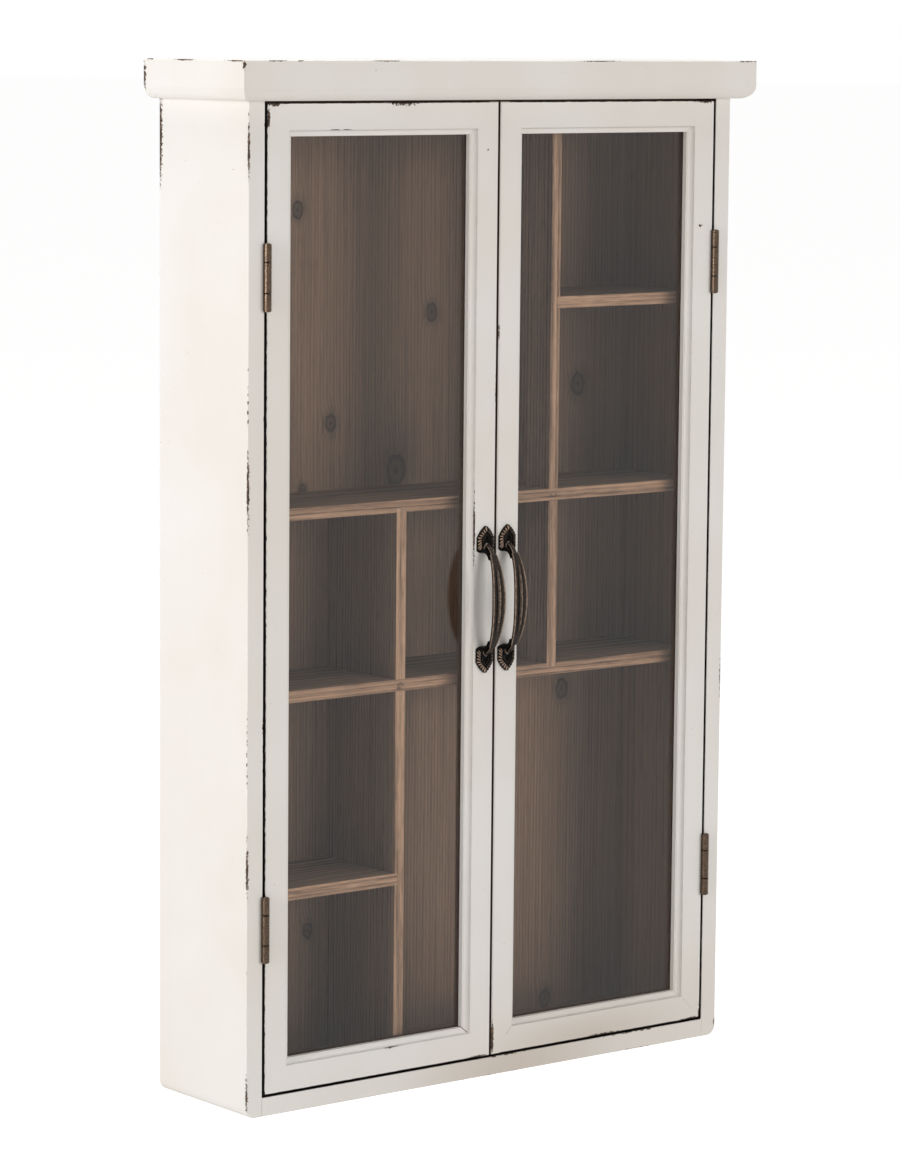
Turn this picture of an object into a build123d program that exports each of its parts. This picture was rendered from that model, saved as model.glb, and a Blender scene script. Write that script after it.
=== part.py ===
from build123d import *
import os
from math import sqrt

# A shallow two-door glazed display cabinet, in millimetres.
# X runs to the right, Y from the doors to the back, Z up.
# The origin is under the middle of the whole object, handles included.

# Carcass
carcass_width = 476.0
carcass_depth = 116.0
carcass_height = 770.0
side_thickness = 15.0
bottom_thickness = 14.5
ceiling_thickness = 12.0
ceiling_behind_door = 0.8
edge_round = 0.8
base_round = 8.0
back_thickness = 4.0
back_rebate = 8.0
back_lift = 3.0
same_place = 0.0001

# Cornice and the board it goes round
cornice_height = 30.0
cornice_overhang = 14.5
cornice_round = 10.0
cornice_arris = 0.8

# Shelves and dividers
shelf_thickness = 9.5
divider_thickness = 9.5
shelf_setback = 22.5
shelf_arris = 0.6
housing_depth = 3.0
outer_column_width = 142.3
lowest_cell_height = 144.5
second_cell_height = 144.0
centre_cell_height = 130.5
fourth_cell_height = 143.0

# Doors
door_thickness = 16.0
door_side_gap = 2.0
door_meeting_gap = 1.8
door_top_gap = 1.5
door_bottom_gap = 1.8

# Section of the door frame, from the outer edge inwards and from the face back
band_width = 20.5
quirk_depth = 0.8
ovolo_radius = 3.4
ovolo_step = 0.6
sight_ledge = 1.1
glass_depth = 9.0
glass_rebate = 7.0
glass_thickness = 2.0
glass_play = 0.5
bead_arris = 1.0

# Butt hinges
hinge_length = 50.0
hinge_from_door_end = 104.0
leaf_width = 12.0
leaf_thickness = 0.9
barrel_radius = 3.0
barrel_stand = 2.4
end_knuckle = 13.3
knuckle_gap = 0.25
notch_clearance = 0.4
pin_radius = 1.3
pin_clearance = 0.05
pin_head_radius = 2.1
pin_head_height = 0.6
hinge_screw_radius = 1.1
hinge_screw_head = 2.1
hinge_screw_length = 9.0
hinge_screw_spread = 32.0
hinge_screw_setback = 7.6

# Bow pulls; the fullness is how much of its half width a leaf has half way to its shoulder
handle_length = 116.0
handle_height = 382.0
handle_from_edge = 10.0
handle_reach = 21.0
leaf_plate_length = 20.0
leaf_plate_width = 16.4
leaf_plate_thickness = 2.2
leaf_shoulder = 10.0
leaf_fullness = 0.62
leaf_plate_round = 0.7
tongue_width = 8.0
tongue_length = 9.0
tongue_height = 1.6
bow_foot_from_tip = 16.0
bow_end_radius = 12.0
bow_width = 12.6
bow_foot_width = 3.6
bow_thickness = 3.4
bow_corner = 1.2
handle_screw_from_tip = 15.5
handle_screw_radius = 2.0
handle_screw_bite = 2.6
handle_screw_head = 3.6
handle_screw_head_height = 2.0

# Magnetic catch and strike plates
catch_from_centre = 9.9
catch_block_width = 36.0
catch_block_height = 12.0
catch_block_depth = 14.0
catch_base_width = 60.0
catch_base_height = 2.5
magnet_width = 12.0
magnet_height = 7.0
magnet_depth = 9.0
catch_gap = 0.2
catch_screw_from_centre = 24.0
catch_screw_radius = 1.4
catch_screw_head = 2.6
catch_screw_head_height = 1.2
catch_screw_length = 10.0
strike_width = 14.0
strike_height = 9.0
strike_thickness = 1.0
strike_screw_radius = 1.1
strike_screw_length = 8.0

# Hanging plates, let in flush at the back of the cap board
plate_spacing = 380.0
plate_width = 40.0
plate_height = 20.0
plate_thickness = 1.5
plate_hole_radius = 4.0
plate_pocket_radius = 6.0
plate_pocket_depth = 12.0
plate_screw_spread = 28.0
plate_screw_radius = 1.5
plate_screw_head = 2.6
plate_screw_length = 14.0

# Small fixings
fixing_clearance = 0.03
flat_head_taper = 0.8
dowel_radius = 3.0
dowel_length = 24.0
dowel_in_side = 10.0
dowel_inset = 28.0
cap_screw_radius = 1.75
cap_screw_head = 3.4
cap_screw_head_height = 2.0
cap_screw_length = 30.0
cap_screw_inset_x = 60.0
cap_screw_inset_y = 26.0
back_pin_radius = 0.7
back_pin_length = 14.0
back_pin_pitch = 125.0
back_pin_end = 40.0
nail_radius = 0.6
nail_length = 16.0
nail_spread = 5.0

# Places worked out from the sizes
half_width = carcass_width / 2
face_y = handle_reach - (carcass_depth + handle_reach) / 2
back_y = face_y + carcass_depth
back_panel_y = back_y - back_thickness
inner_x = half_width - side_thickness
cap_top = carcass_height + cornice_height
ceiling_z = carcass_height - ceiling_thickness
ceiling_y = face_y + door_thickness + ceiling_behind_door
shelf_y = face_y + shelf_setback
floor_z = bottom_thickness

lower_left_z = floor_z + lowest_cell_height
middle_z = lower_left_z + shelf_thickness + second_cell_height
upper_z = middle_z + shelf_thickness + centre_cell_height
upper_right_z = upper_z + shelf_thickness + fourth_cell_height
divider_left_x = -inner_x + outer_column_width
divider_right_x = inner_x - outer_column_width - divider_thickness

frame_width = band_width + ovolo_radius + sight_ledge
door_bottom = bottom_thickness + door_bottom_gap
door_top = carcass_height - door_top_gap
door_outer_x = -inner_x + door_side_gap
door_inner_x = -door_meeting_gap / 2
rebate_start = frame_width - glass_rebate
bead_depth = glass_depth + glass_thickness

axis_x = -inner_x + door_side_gap / 2
axis_y = face_y - barrel_stand
hinge_starts = (door_bottom + hinge_from_door_end, door_top - hinge_from_door_end - hinge_length)

handle_x = door_inner_x - handle_from_edge
bow_span = handle_length - 2 * bow_foot_from_tip
handle_screw_spacing = handle_length - 2 * handle_screw_from_tip


def block(x0, x1, y0, y1, z0, z1):
    """A rectangular solid between two corners."""
    size = Box(x1 - x0, y1 - y0, z1 - z0)
    return Pos((x0 + x1) / 2, (y0 + y1) / 2, (z0 + z1) / 2) * size


def rod_x(x0, x1, y, z, radius):
    """A round bar along X."""
    return Pos((x0 + x1) / 2, y, z) * Rot(0, 90, 0) * Cylinder(radius, abs(x1 - x0))


def rod_y(x, y0, y1, z, radius):
    """A round bar along Y."""
    return Pos(x, (y0 + y1) / 2, z) * Rot(90, 0, 0) * Cylinder(radius, abs(y1 - y0))


def rod_z(x, y, z0, z1, radius):
    """A round bar along Z."""
    return Pos(x, y, (z0 + z1) / 2) * Cylinder(radius, abs(z1 - z0))


def turned(outline, start, direction):
    """A round solid: the outline's (distance, radius) points turned about a line."""
    length = outline[-1][0]
    points = [(0, 0)] + [(radius, distance) for distance, radius in outline] + [(0, length)]
    face = Plane.XZ * make_face(Polyline(*points, close=True))
    upright = revolve(face, Axis.Z)
    return Plane(origin=start, z_dir=direction) * upright


def countersunk(start, direction, head, shank, length):
    """A flush screw: a cone from the head's radius to the shank's, then the shank."""
    cone = head - shank
    return turned([(0, head), (cone, shank), (length, shank)], start, direction)


def capped(start, direction, head, head_height, shank, length):
    """A screw with a flat head that stands on the surface at its start."""
    screw = turned([(0, shank), (length, shank)], start, direction)
    cap = turned([(0, head), (head_height, head * flat_head_taper)], start, [-part for part in direction])
    return screw + cap


def outline_face(plane, corners):
    """A flat face through corners given in a plane's own directions."""
    return plane * make_face(Polyline(*corners, close=True))


def mirrored(solid):
    """The same piece on the other side of the cabinet."""
    return mirror(solid, about=Plane.YZ)


def save(node, *solids):
    """Write one node, whatever number of separate solids it holds."""
    pieces = [piece for solid in solids for piece in solid.solids()]
    whole = pieces[0] if len(pieces) == 1 else Compound(children=pieces)
    export_step(whole, f"parts/{node}.step")


def eased_front(board, along, radius, y):
    """Ease the front edges of a board, those that run along one axis at depth y."""
    edges = [edge for edge in board.edges().filter_by(along) if abs(edge.center().Y - y) < same_place]
    return fillet(edges, radius)


# Holes shared by the pieces that the same fixing passes through

dowel_rows = [
    (bottom_thickness / 2, (face_y + dowel_inset, back_panel_y - dowel_inset)),
    (carcass_height - ceiling_thickness / 2, (ceiling_y + dowel_inset, back_panel_y - dowel_inset)),
]
dowel_places = [(y, z) for z, row in dowel_rows for y in row]


def left_dowels(extra=0.0):
    """Wooden dowels between the left side and the boards at its ends."""
    start = -inner_x - dowel_in_side
    return [rod_x(start, start + dowel_length, y, z, dowel_radius + extra) for y, z in dowel_places]


def side_pin_heights():
    """Heights of the pins along one edge of the back panel."""
    low = floor_z + back_pin_end
    high = carcass_height - back_pin_end
    count = round((high - low) / back_pin_pitch)
    return [low + (high - low) * i / count for i in range(count + 1)]


def end_pin_offsets():
    """Distances from the middle of the pins along the top and bottom of the back panel."""
    span = 2 * inner_x - 2 * back_pin_end
    count = round(span / back_pin_pitch)
    return [-span / 2 + span * i / count for i in range(count + 1)]


def back_pins(extra=0.0):
    """Pins through the thin back panel into the edges behind it."""
    pin_start = back_y - back_pin_length
    edge_x = inner_x + back_rebate / 2
    pins = []
    for z in side_pin_heights():
        pins.append(rod_y(-edge_x, pin_start, back_y, z, back_pin_radius + extra))
        pins.append(rod_y(edge_x, pin_start, back_y, z, back_pin_radius + extra))
    for x in end_pin_offsets():
        for z in (bottom_thickness / 2, carcass_height - ceiling_thickness / 2):
            pins.append(rod_y(x, pin_start, back_y, z, back_pin_radius + extra))
    return pins


def cap_screws(extra=0.0):
    """Screws up through the ceiling board into the cap board."""
    screws = []
    for x in (-inner_x + cap_screw_inset_x, inner_x - cap_screw_inset_x):
        for y in (ceiling_y + cap_screw_inset_y, back_panel_y - cap_screw_inset_y):
            outline = [
                (0, cap_screw_head + extra),
                (cap_screw_head_height, cap_screw_radius + extra),
                (cap_screw_length, cap_screw_radius + extra),
            ]
            screws.append(turned(outline, (x, y, ceiling_z), (0, 0, 1)))
    return screws


def hinge_screw_places():
    """Height of each leaf screw, for all the hinges of one door."""
    middle = [start + hinge_length / 2 for start in hinge_starts]
    return [z + side * hinge_screw_spread / 2 for z in middle for side in (-1, 1)]


def carcass_leaf_screws(extra=0.0):
    """Screws from the left carcass leaves into the side."""
    x = -inner_x + leaf_thickness
    y = face_y + hinge_screw_setback
    size = (hinge_screw_head + extra, hinge_screw_radius + extra, hinge_screw_length)
    return [countersunk((x, y, z), (-1, 0, 0), *size) for z in hinge_screw_places()]


def door_leaf_screws(extra=0.0):
    """Screws from the left door leaves into the hinge stile."""
    x = door_outer_x - leaf_thickness
    y = face_y + hinge_screw_setback
    size = (hinge_screw_head + extra, hinge_screw_radius + extra, hinge_screw_length)
    return [countersunk((x, y, z), (1, 0, 0), *size) for z in hinge_screw_places()]


def hinge_notches():
    """Room for the left barrels in the edges of the side and the door."""
    radius = barrel_radius + notch_clearance
    return [
        rod_z(axis_x, axis_y, z - notch_clearance, z + hinge_length + notch_clearance, radius)
        for z in hinge_starts
    ]


def cut_all(solid, tools):
    """Take every tool out of a solid."""
    for tool in tools:
        solid = solid - tool
    return solid


# Carcass


def side_panel():
    """The left side: rebated at the back, housed for its shelves, rounded at the foot."""
    panel = block(-half_width, -inner_x, face_y, back_y, 0, carcass_height)
    outer_foot = panel.edges().filter_by(Axis.Y).sort_by(lambda edge: edge.center().X + edge.center().Z)[0]
    panel = fillet(outer_foot, base_round)
    panel = eased_front(panel, Axis.Z, edge_round, face_y)
    rebate = block(-inner_x - back_rebate, -inner_x, back_panel_y, back_y, 0, carcass_height)
    panel = panel - rebate
    panel = cut_all(panel, left_dowels(fixing_clearance))
    panel = cut_all(panel, back_pins(fixing_clearance))
    panel = cut_all(panel, carcass_leaf_screws(fixing_clearance))
    return cut_all(panel, hinge_notches())


def side_housing(z):
    """The groove that a shelf's left end sits in."""
    return block(
        -inner_x - housing_depth, -inner_x, shelf_y, back_panel_y, z, z + shelf_thickness
    )


def bottom_panel():
    """The board between the feet of the sides; its front edge shows below the doors."""
    board = block(-inner_x, inner_x, face_y, back_panel_y, 0, bottom_thickness)
    board = eased_front(board, Axis.X, edge_round, face_y)
    board = board - divider_left_foot()
    board = cut_all(board, left_dowels(fixing_clearance))
    board = cut_all(board, [mirrored(dowel) for dowel in left_dowels(fixing_clearance)])
    return cut_all(board, back_pins(fixing_clearance))


def ceiling_panel():
    """The board behind the doors' top rails, which the doors close against."""
    board = block(-inner_x, inner_x, ceiling_y, back_panel_y, ceiling_z, carcass_height)
    board = board - divider_right_head()
    board = cut_all(board, left_dowels(fixing_clearance))
    board = cut_all(board, [mirrored(dowel) for dowel in left_dowels(fixing_clearance)])
    board = cut_all(board, catch_screws(fixing_clearance))
    board = cut_all(board, cap_screws(fixing_clearance))
    return cut_all(board, back_pins(fixing_clearance))


def back_panel():
    """The thin board in the rebates of the sides."""
    reach = inner_x + back_rebate
    board = block(-reach, reach, back_panel_y, back_y, back_lift, carcass_height)
    return cut_all(board, back_pins(fixing_clearance))


# Cornice


def cap_board():
    """The flat board on top of the carcass, with room for the hanging plates."""
    board = block(-half_width, half_width, face_y, back_y, carcass_height, cap_top)
    board = cut_all(board, [hanging_plate_recess(x) for x in hanging_plate_places()])
    board = cut_all(board, hanging_plate_screws(fixing_clearance))
    return cut_all(board, cap_screws(fixing_clearance))


def cornice_section(plane):
    """The strip's outline: outwards is the plane's X, up is its Y."""
    out = cornice_overhang
    low = carcass_height
    curve = [
        Line((0, cap_top), (0, low)),
        Line((0, low), (out - cornice_round, low)),
        RadiusArc((out - cornice_round, low), (out, low + cornice_round), -cornice_round),
        Line((out, low + cornice_round), (out, cap_top - cornice_arris)),
        RadiusArc((out, cap_top - cornice_arris), (out - cornice_arris, cap_top), -cornice_arris),
        Line((out - cornice_arris, cap_top), (0, cap_top)),
    ]
    return plane * make_face(Wire(curve))


def cornice_front():
    """The front strip, mitred at both ends."""
    reach = half_width + cornice_overhang
    plane = Plane(origin=(-reach, face_y, 0), x_dir=(0, -1, 0), z_dir=(-1, 0, 0))
    strip = extrude(cornice_section(plane), amount=-2 * reach)
    corners = [
        (-reach, face_y - cornice_overhang),
        (reach, face_y - cornice_overhang),
        (half_width, face_y),
        (-half_width, face_y),
    ]
    footprint = extrude(outline_face(Plane.XY, corners), amount=cap_top)
    return strip & footprint


def cornice_side():
    """The left strip, mitred at the front and square at the back."""
    start_y = face_y - cornice_overhang
    plane = Plane(origin=(-half_width, start_y, 0), x_dir=(-1, 0, 0), z_dir=(0, 1, 0))
    strip = extrude(cornice_section(plane), amount=back_y - start_y)
    corners = [
        (-half_width - cornice_overhang, start_y),
        (-half_width, face_y),
        (-half_width, back_y),
        (-half_width - cornice_overhang, back_y),
    ]
    footprint = extrude(outline_face(Plane.XY, corners), amount=cap_top)
    return strip & footprint


# Shelves and dividers, cross-halved where a long shelf and a divider cross

halving_y = (shelf_y + back_panel_y) / 2


def divider_left_foot():
    """The left divider's end that stands in the bottom board."""
    return block(
        divider_left_x,
        divider_left_x + divider_thickness,
        shelf_y,
        back_panel_y,
        floor_z - housing_depth,
        floor_z,
    )


def divider_right_head():
    """The right divider's end that stands in the ceiling board."""
    return block(
        divider_right_x,
        divider_right_x + divider_thickness,
        shelf_y,
        back_panel_y,
        ceiling_z,
        ceiling_z + housing_depth,
    )


def shelf_blank(x0, x1, z):
    """A shelf board with eased front edges."""
    board = block(x0, x1, shelf_y, back_panel_y, z, z + shelf_thickness)
    return eased_front(board, Axis.X, shelf_arris, shelf_y)


def divider_blank(x, z0, z1):
    """An upright board with eased front edges."""
    board = block(x, x + divider_thickness, shelf_y, back_panel_y, z0, z1)
    return eased_front(board, Axis.Z, shelf_arris, shelf_y)


def crossing(x, z, y0, y1):
    """The place that a shelf and a divider share, between two depths."""
    return block(x, x + divider_thickness, y0, y1, z, z + shelf_thickness)


def shelf_middle():
    """The full-width shelf that the left divider crosses."""
    reach = inner_x + housing_depth
    board = shelf_blank(-reach, reach, middle_z)
    board = board - crossing(divider_left_x, middle_z, halving_y, back_panel_y)
    housing_z = middle_z + shelf_thickness - housing_depth
    board = board - crossing(divider_right_x, housing_z, shelf_y, back_panel_y)
    return cut_all(board, shelf_nails(fixing_clearance))


def shelf_upper():
    """The full-width shelf that the right divider crosses."""
    reach = inner_x + housing_depth
    board = shelf_blank(-reach, reach, upper_z)
    board = board - crossing(divider_right_x, upper_z, halving_y, back_panel_y)
    housing_z = upper_z + housing_depth - shelf_thickness
    board = board - crossing(divider_left_x, housing_z, shelf_y, back_panel_y)
    return cut_all(board, shelf_nails(fixing_clearance))


def divider_left():
    """The upright from the floor to the underside of the upper shelf."""
    board = divider_blank(divider_left_x, floor_z - housing_depth, upper_z + housing_depth)
    board = board - crossing(divider_left_x, middle_z, shelf_y, halving_y)
    face_x = divider_left_x + housing_depth
    groove = block(
        divider_left_x, face_x, shelf_y, back_panel_y, lower_left_z, lower_left_z + shelf_thickness
    )
    return cut_all(board - groove, shelf_nails(fixing_clearance))


def divider_right():
    """The upright from the top of the middle shelf to the ceiling."""
    low = middle_z + shelf_thickness - housing_depth
    board = divider_blank(divider_right_x, low, ceiling_z + housing_depth)
    board = board - crossing(divider_right_x, upper_z, shelf_y, halving_y)
    end_x = divider_right_x + divider_thickness
    groove = block(
        end_x - housing_depth,
        end_x,
        shelf_y,
        back_panel_y,
        upper_right_z,
        upper_right_z + shelf_thickness,
    )
    return cut_all(board - groove, shelf_nails(fixing_clearance))


def shelf_lower_left():
    """The short shelf between the left side and the left divider."""
    return shelf_blank(-inner_x - housing_depth, divider_left_x + housing_depth, lower_left_z)


def shelf_upper_right():
    """The short shelf between the right divider and the right side."""
    start = divider_right_x + divider_thickness - housing_depth
    return shelf_blank(start, inner_x + housing_depth, upper_right_z)


def shelf_nails(extra=0.0):
    """Nails driven in from the front where a long shelf and a divider cross."""
    nails = []
    for x, z in ((divider_left_x, middle_z), (divider_right_x, upper_z)):
        middle = x + divider_thickness / 2
        for offset in (-nail_spread / 2, nail_spread / 2):
            height = z + shelf_thickness / 2
            nails.append(
                rod_y(middle + offset, shelf_y, shelf_y + nail_length, height, nail_radius + extra)
            )
    return nails


# Left door; the right one is its mirror image


def frame_section(plane):
    """The frame's outline: the plane's X runs inwards from the outer edge, its Y to the back."""
    quirk_in = band_width
    ovolo_in = band_width + ovolo_radius
    ovolo_low = quirk_depth + ovolo_radius
    ledge_low = ovolo_low + ovolo_step
    curve = [
        Line((0, door_thickness), (0, edge_round)),
        RadiusArc((0, edge_round), (edge_round, 0), edge_round),
        Line((edge_round, 0), (quirk_in, 0)),
        Line((quirk_in, 0), (quirk_in, quirk_depth)),
        RadiusArc((quirk_in, quirk_depth), (ovolo_in, ovolo_low), ovolo_radius),
        Line((ovolo_in, ovolo_low), (ovolo_in, ledge_low)),
        Line((ovolo_in, ledge_low), (frame_width, ledge_low)),
        Line((frame_width, ledge_low), (frame_width, glass_depth)),
        Line((frame_width, glass_depth), (rebate_start, glass_depth)),
        Line((rebate_start, glass_depth), (rebate_start, door_thickness)),
        Line((rebate_start, door_thickness), (0, door_thickness)),
    ]
    return plane * make_face(Wire(curve))


def mitred_ring(section, x0, x1, z0, z1, width, depth_range):
    """Four lengths of one section round a rectangle, mitred at its corners.

    section(plane) draws the outline; the result names the four lengths by their side.
    """
    low_y, high_y = depth_range
    # Each row is the place and direction of the outline, then the corners of the length's front.
    left = [(x0, z0), (x0 + width, z0 + width), (x0 + width, z1 - width), (x0, z1)]
    right = [(x1, z0), (x1, z1), (x1 - width, z1 - width), (x1 - width, z0 + width)]
    top = [(x0, z1), (x0 + width, z1 - width), (x1 - width, z1 - width), (x1, z1)]
    bottom = [(x0, z0), (x1, z0), (x1 - width, z0 + width), (x0 + width, z0 + width)]
    tall = z1 - z0
    wide = x1 - x0
    sides = {
        "left": (Plane(origin=(x0, face_y, z0), x_dir=(1, 0, 0), z_dir=(0, 0, 1)), tall, left),
        "right": (Plane(origin=(x1, face_y, z0), x_dir=(-1, 0, 0), z_dir=(0, 0, -1)), -tall, right),
        "top": (Plane(origin=(x0, face_y, z1), x_dir=(0, 0, -1), z_dir=(1, 0, 0)), wide, top),
        "bottom": (Plane(origin=(x0, face_y, z0), x_dir=(0, 0, 1), z_dir=(-1, 0, 0)), -wide, bottom),
    }
    lengths = {}
    for name, (plane, run, corners) in sides.items():
        strip = extrude(section(plane), amount=run)
        front = Plane(origin=(0, low_y, 0), x_dir=(1, 0, 0), z_dir=(0, -1, 0))
        shadow = extrude(outline_face(front, corners), amount=low_y - high_y)
        lengths[name] = strip & shadow
    return lengths


def door_frame():
    """The left door's stiles and rails, with room for the hinges and screws."""
    lengths = mitred_ring(
        frame_section,
        door_outer_x,
        door_inner_x,
        door_bottom,
        door_top,
        frame_width,
        (face_y, face_y + door_thickness),
    )
    hinge_stile = cut_all(lengths["left"], hinge_notches())
    hinge_stile = cut_all(hinge_stile, door_leaf_screws(fixing_clearance))
    meeting_stile = cut_all(lengths["right"], handle_screws(fixing_clearance))
    meeting_stile = meeting_stile - strike_screw(fixing_clearance)
    return hinge_stile, meeting_stile, lengths["top"], lengths["bottom"]


def bead_section(plane):
    """A glazing bead's outline, from the rebate's side to the edge of the opening."""
    points = [
        (rebate_start, bead_depth),
        (frame_width, bead_depth),
        (frame_width, door_thickness - bead_arris),
        (frame_width - bead_arris, door_thickness),
        (rebate_start, door_thickness),
    ]
    return outline_face(plane, points)


def door_beads():
    """The four beads that hold the pane, mitred at its corners."""
    lengths = mitred_ring(
        bead_section,
        door_outer_x,
        door_inner_x,
        door_bottom,
        door_top,
        frame_width,
        (face_y, face_y + door_thickness),
    )
    return list(lengths.values())


def door_glass():
    """The pane, in the rebate with a little play all round."""
    edge = rebate_start + glass_play
    glass_y = face_y + glass_depth
    return block(
        door_outer_x + edge,
        door_inner_x - edge,
        glass_y,
        glass_y + glass_thickness,
        door_bottom + edge,
        door_top - edge,
    )


# Hinges of the left door


def knuckle(z0, z1):
    """One length of the barrel."""
    return rod_z(axis_x, axis_y, z0, z1, barrel_radius)


def knuckle_room(z0, z1):
    """The space kept free round the other leaf's knuckle."""
    return rod_z(axis_x, axis_y, z0, z1, barrel_radius + notch_clearance)


def leaf_plate(x, z):
    """The flat of a leaf, from the barrel's axis back."""
    return block(x, x + leaf_thickness, axis_y, face_y + leaf_width, z, z + hinge_length)


def carcass_leaf(z):
    """The leaf on the side, with the two outer knuckles."""
    low_end = z + end_knuckle
    high_start = z + hinge_length - end_knuckle
    plate = leaf_plate(-inner_x, z) - knuckle_room(low_end, high_start)
    leaf = plate + knuckle(z, low_end) + knuckle(high_start, z + hinge_length)
    leaf = leaf - rod_z(axis_x, axis_y, z, z + hinge_length, pin_radius + pin_clearance)
    return cut_all(leaf, carcass_leaf_screws(fixing_clearance))


def door_leaf(z):
    """The leaf on the door, with the middle knuckle."""
    low = z + end_knuckle + knuckle_gap
    high = z + hinge_length - end_knuckle - knuckle_gap
    plate = leaf_plate(door_outer_x - leaf_thickness, z)
    plate = plate - knuckle_room(z, low) - knuckle_room(high, z + hinge_length)
    leaf = plate + knuckle(low, high)
    leaf = leaf - rod_z(axis_x, axis_y, z, z + hinge_length, pin_radius + pin_clearance)
    return cut_all(leaf, door_leaf_screws(fixing_clearance))


def hinge_pin(z):
    """The pin, with a flat head at both ends."""
    total = hinge_length + 2 * pin_head_height
    outline = [
        (0, pin_head_radius),
        (pin_head_height, pin_head_radius),
        (pin_head_height, pin_radius),
        (total - pin_head_height, pin_radius),
        (total - pin_head_height, pin_head_radius),
        (total, pin_head_radius),
    ]
    return turned(outline, (axis_x, axis_y, z - pin_head_height), (0, 0, 1))


# Bow pull on the left door


def leaf_outline(direction):
    """The pointed leaf, from its tip to its square end; direction is +1 for the upper one."""
    half = leaf_plate_width / 2
    tip = handle_height + direction * handle_length / 2
    shoulder = tip - direction * leaf_shoulder
    end = tip - direction * leaf_plate_length
    middle = tip - direction * leaf_shoulder / 2
    return [
        ThreePointArc((0, tip), (half * leaf_fullness, middle), (half, shoulder)),
        Line((half, shoulder), (half, end)),
        Line((half, end), (-half, end)),
        Line((-half, end), (-half, shoulder)),
        ThreePointArc((-half, shoulder), (-half * leaf_fullness, middle), (0, tip)),
    ]


def leaf_plate_solid(direction):
    """One end of the pull, with the tongue that the bow grows out of."""
    front = Plane(origin=(handle_x, face_y, 0), x_dir=(1, 0, 0), z_dir=(0, -1, 0))
    plate = extrude(front * make_face(Wire(leaf_outline(direction))), amount=leaf_plate_thickness)
    rim = plate.faces().sort_by(Axis.Y)[0].edges()
    plate = fillet(rim, leaf_plate_round)
    end = handle_height + direction * (handle_length / 2 - leaf_plate_length)
    far = end + direction * (tongue_length - tongue_width / 2)
    height = leaf_plate_thickness + tongue_height
    y0 = face_y - height
    half = tongue_width / 2
    tongue = block(handle_x - half, handle_x + half, y0, face_y, min(end, far), max(end, far))
    return plate + tongue + rod_y(handle_x, y0, face_y, far, half)


def bow():
    """The grip: a flat bar along three tangent arcs, from tongue to tongue."""
    rise = handle_reach - bow_thickness / 2
    half = bow_span / 2
    small = bow_end_radius
    run = half - small
    large = (run**2 + rise**2 - small**2) / (2 * (rise - small))
    # The small arc leaves the door square and meets the large one where both lean alike.
    gap = sqrt(run**2 + (large - rise) ** 2)
    meet_z = run * large / gap
    meet_y = (large - rise) * large / gap - (large - rise)
    side = Plane(origin=(handle_x, face_y, handle_height), x_dir=(0, 0, 1), z_dir=(1, 0, 0))
    turn_z = run + small * sqrt(0.5)
    turn_y = small * sqrt(0.5)
    path = Wire(
        [
            side * ThreePointArc((-half, 0), (-turn_z, turn_y), (-meet_z, meet_y)),
            side * ThreePointArc((-meet_z, meet_y), (0, rise), (meet_z, meet_y)),
            side * ThreePointArc((meet_z, meet_y), (turn_z, turn_y), (half, 0)),
        ]
    )
    start = Plane(
        origin=(handle_x, face_y, handle_height - half), x_dir=(1, 0, 0), z_dir=(0, -1, 0)
    )
    section = start * RectangleRounded(bow_width, bow_thickness, bow_corner)
    return sweep(section, path=path) & bow_outline()


def bow_outline():
    """The bow's shape seen from the front, widest in the middle, as a block to trim it with."""
    half = bow_span / 2 + bow_thickness
    foot = bow_foot_width / 2
    wide = bow_width / 2
    outline = Wire(
        [
            ThreePointArc((foot, -half), (wide, 0), (foot, half)),
            Line((foot, half), (-foot, half)),
            ThreePointArc((-foot, half), (-wide, 0), (-foot, -half)),
            Line((-foot, -half), (foot, -half)),
        ]
    )
    front = Plane(origin=(handle_x, face_y, handle_height), x_dir=(1, 0, 0), z_dir=(0, -1, 0))
    return extrude(front * make_face(outline), amount=handle_reach)


def handle():
    """The whole pull, cast in one piece, drilled for its screws."""
    pull = leaf_plate_solid(1) + leaf_plate_solid(-1) + bow()
    return cut_all(pull, handle_screws(fixing_clearance))


def handle_screws(extra=0.0):
    """Screws through the meeting stile into the pull, under its two tongues."""
    door_back = face_y + door_thickness
    length = door_thickness + handle_screw_bite
    screws = []
    for side in (-1, 1):
        start = (handle_x, door_back, handle_height + side * handle_screw_spacing / 2)
        shank = handle_screw_radius + extra
        screws.append(
            capped(
                start, (0, -1, 0), handle_screw_head, handle_screw_head_height, shank, length + extra
            )
        )
    return screws


# Magnetic catch below the ceiling, with a strike plate on each door

catch_y = face_y + door_thickness + strike_thickness + catch_gap
catch_middle_z = ceiling_z - catch_block_height / 2


def magnet_pocket(x, extra=0.0):
    """The space of one magnet in the catch."""
    half = magnet_width / 2 + extra
    rise = magnet_height / 2 + extra
    deep = catch_y + magnet_depth + extra
    return block(x - half, x + half, catch_y, deep, catch_middle_z - rise, catch_middle_z + rise)


def catch_screws(extra=0.0):
    """The two screws up into the ceiling board."""
    y = catch_y + catch_block_depth / 2
    z = ceiling_z - catch_base_height
    screws = []
    for x in (-catch_screw_from_centre, catch_screw_from_centre):
        shank = catch_screw_radius + extra
        screws.append(
            capped(
                (x, y, z),
                (0, 0, 1),
                catch_screw_head,
                catch_screw_head_height,
                shank,
                catch_screw_length + extra,
            )
        )
    return screws


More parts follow.
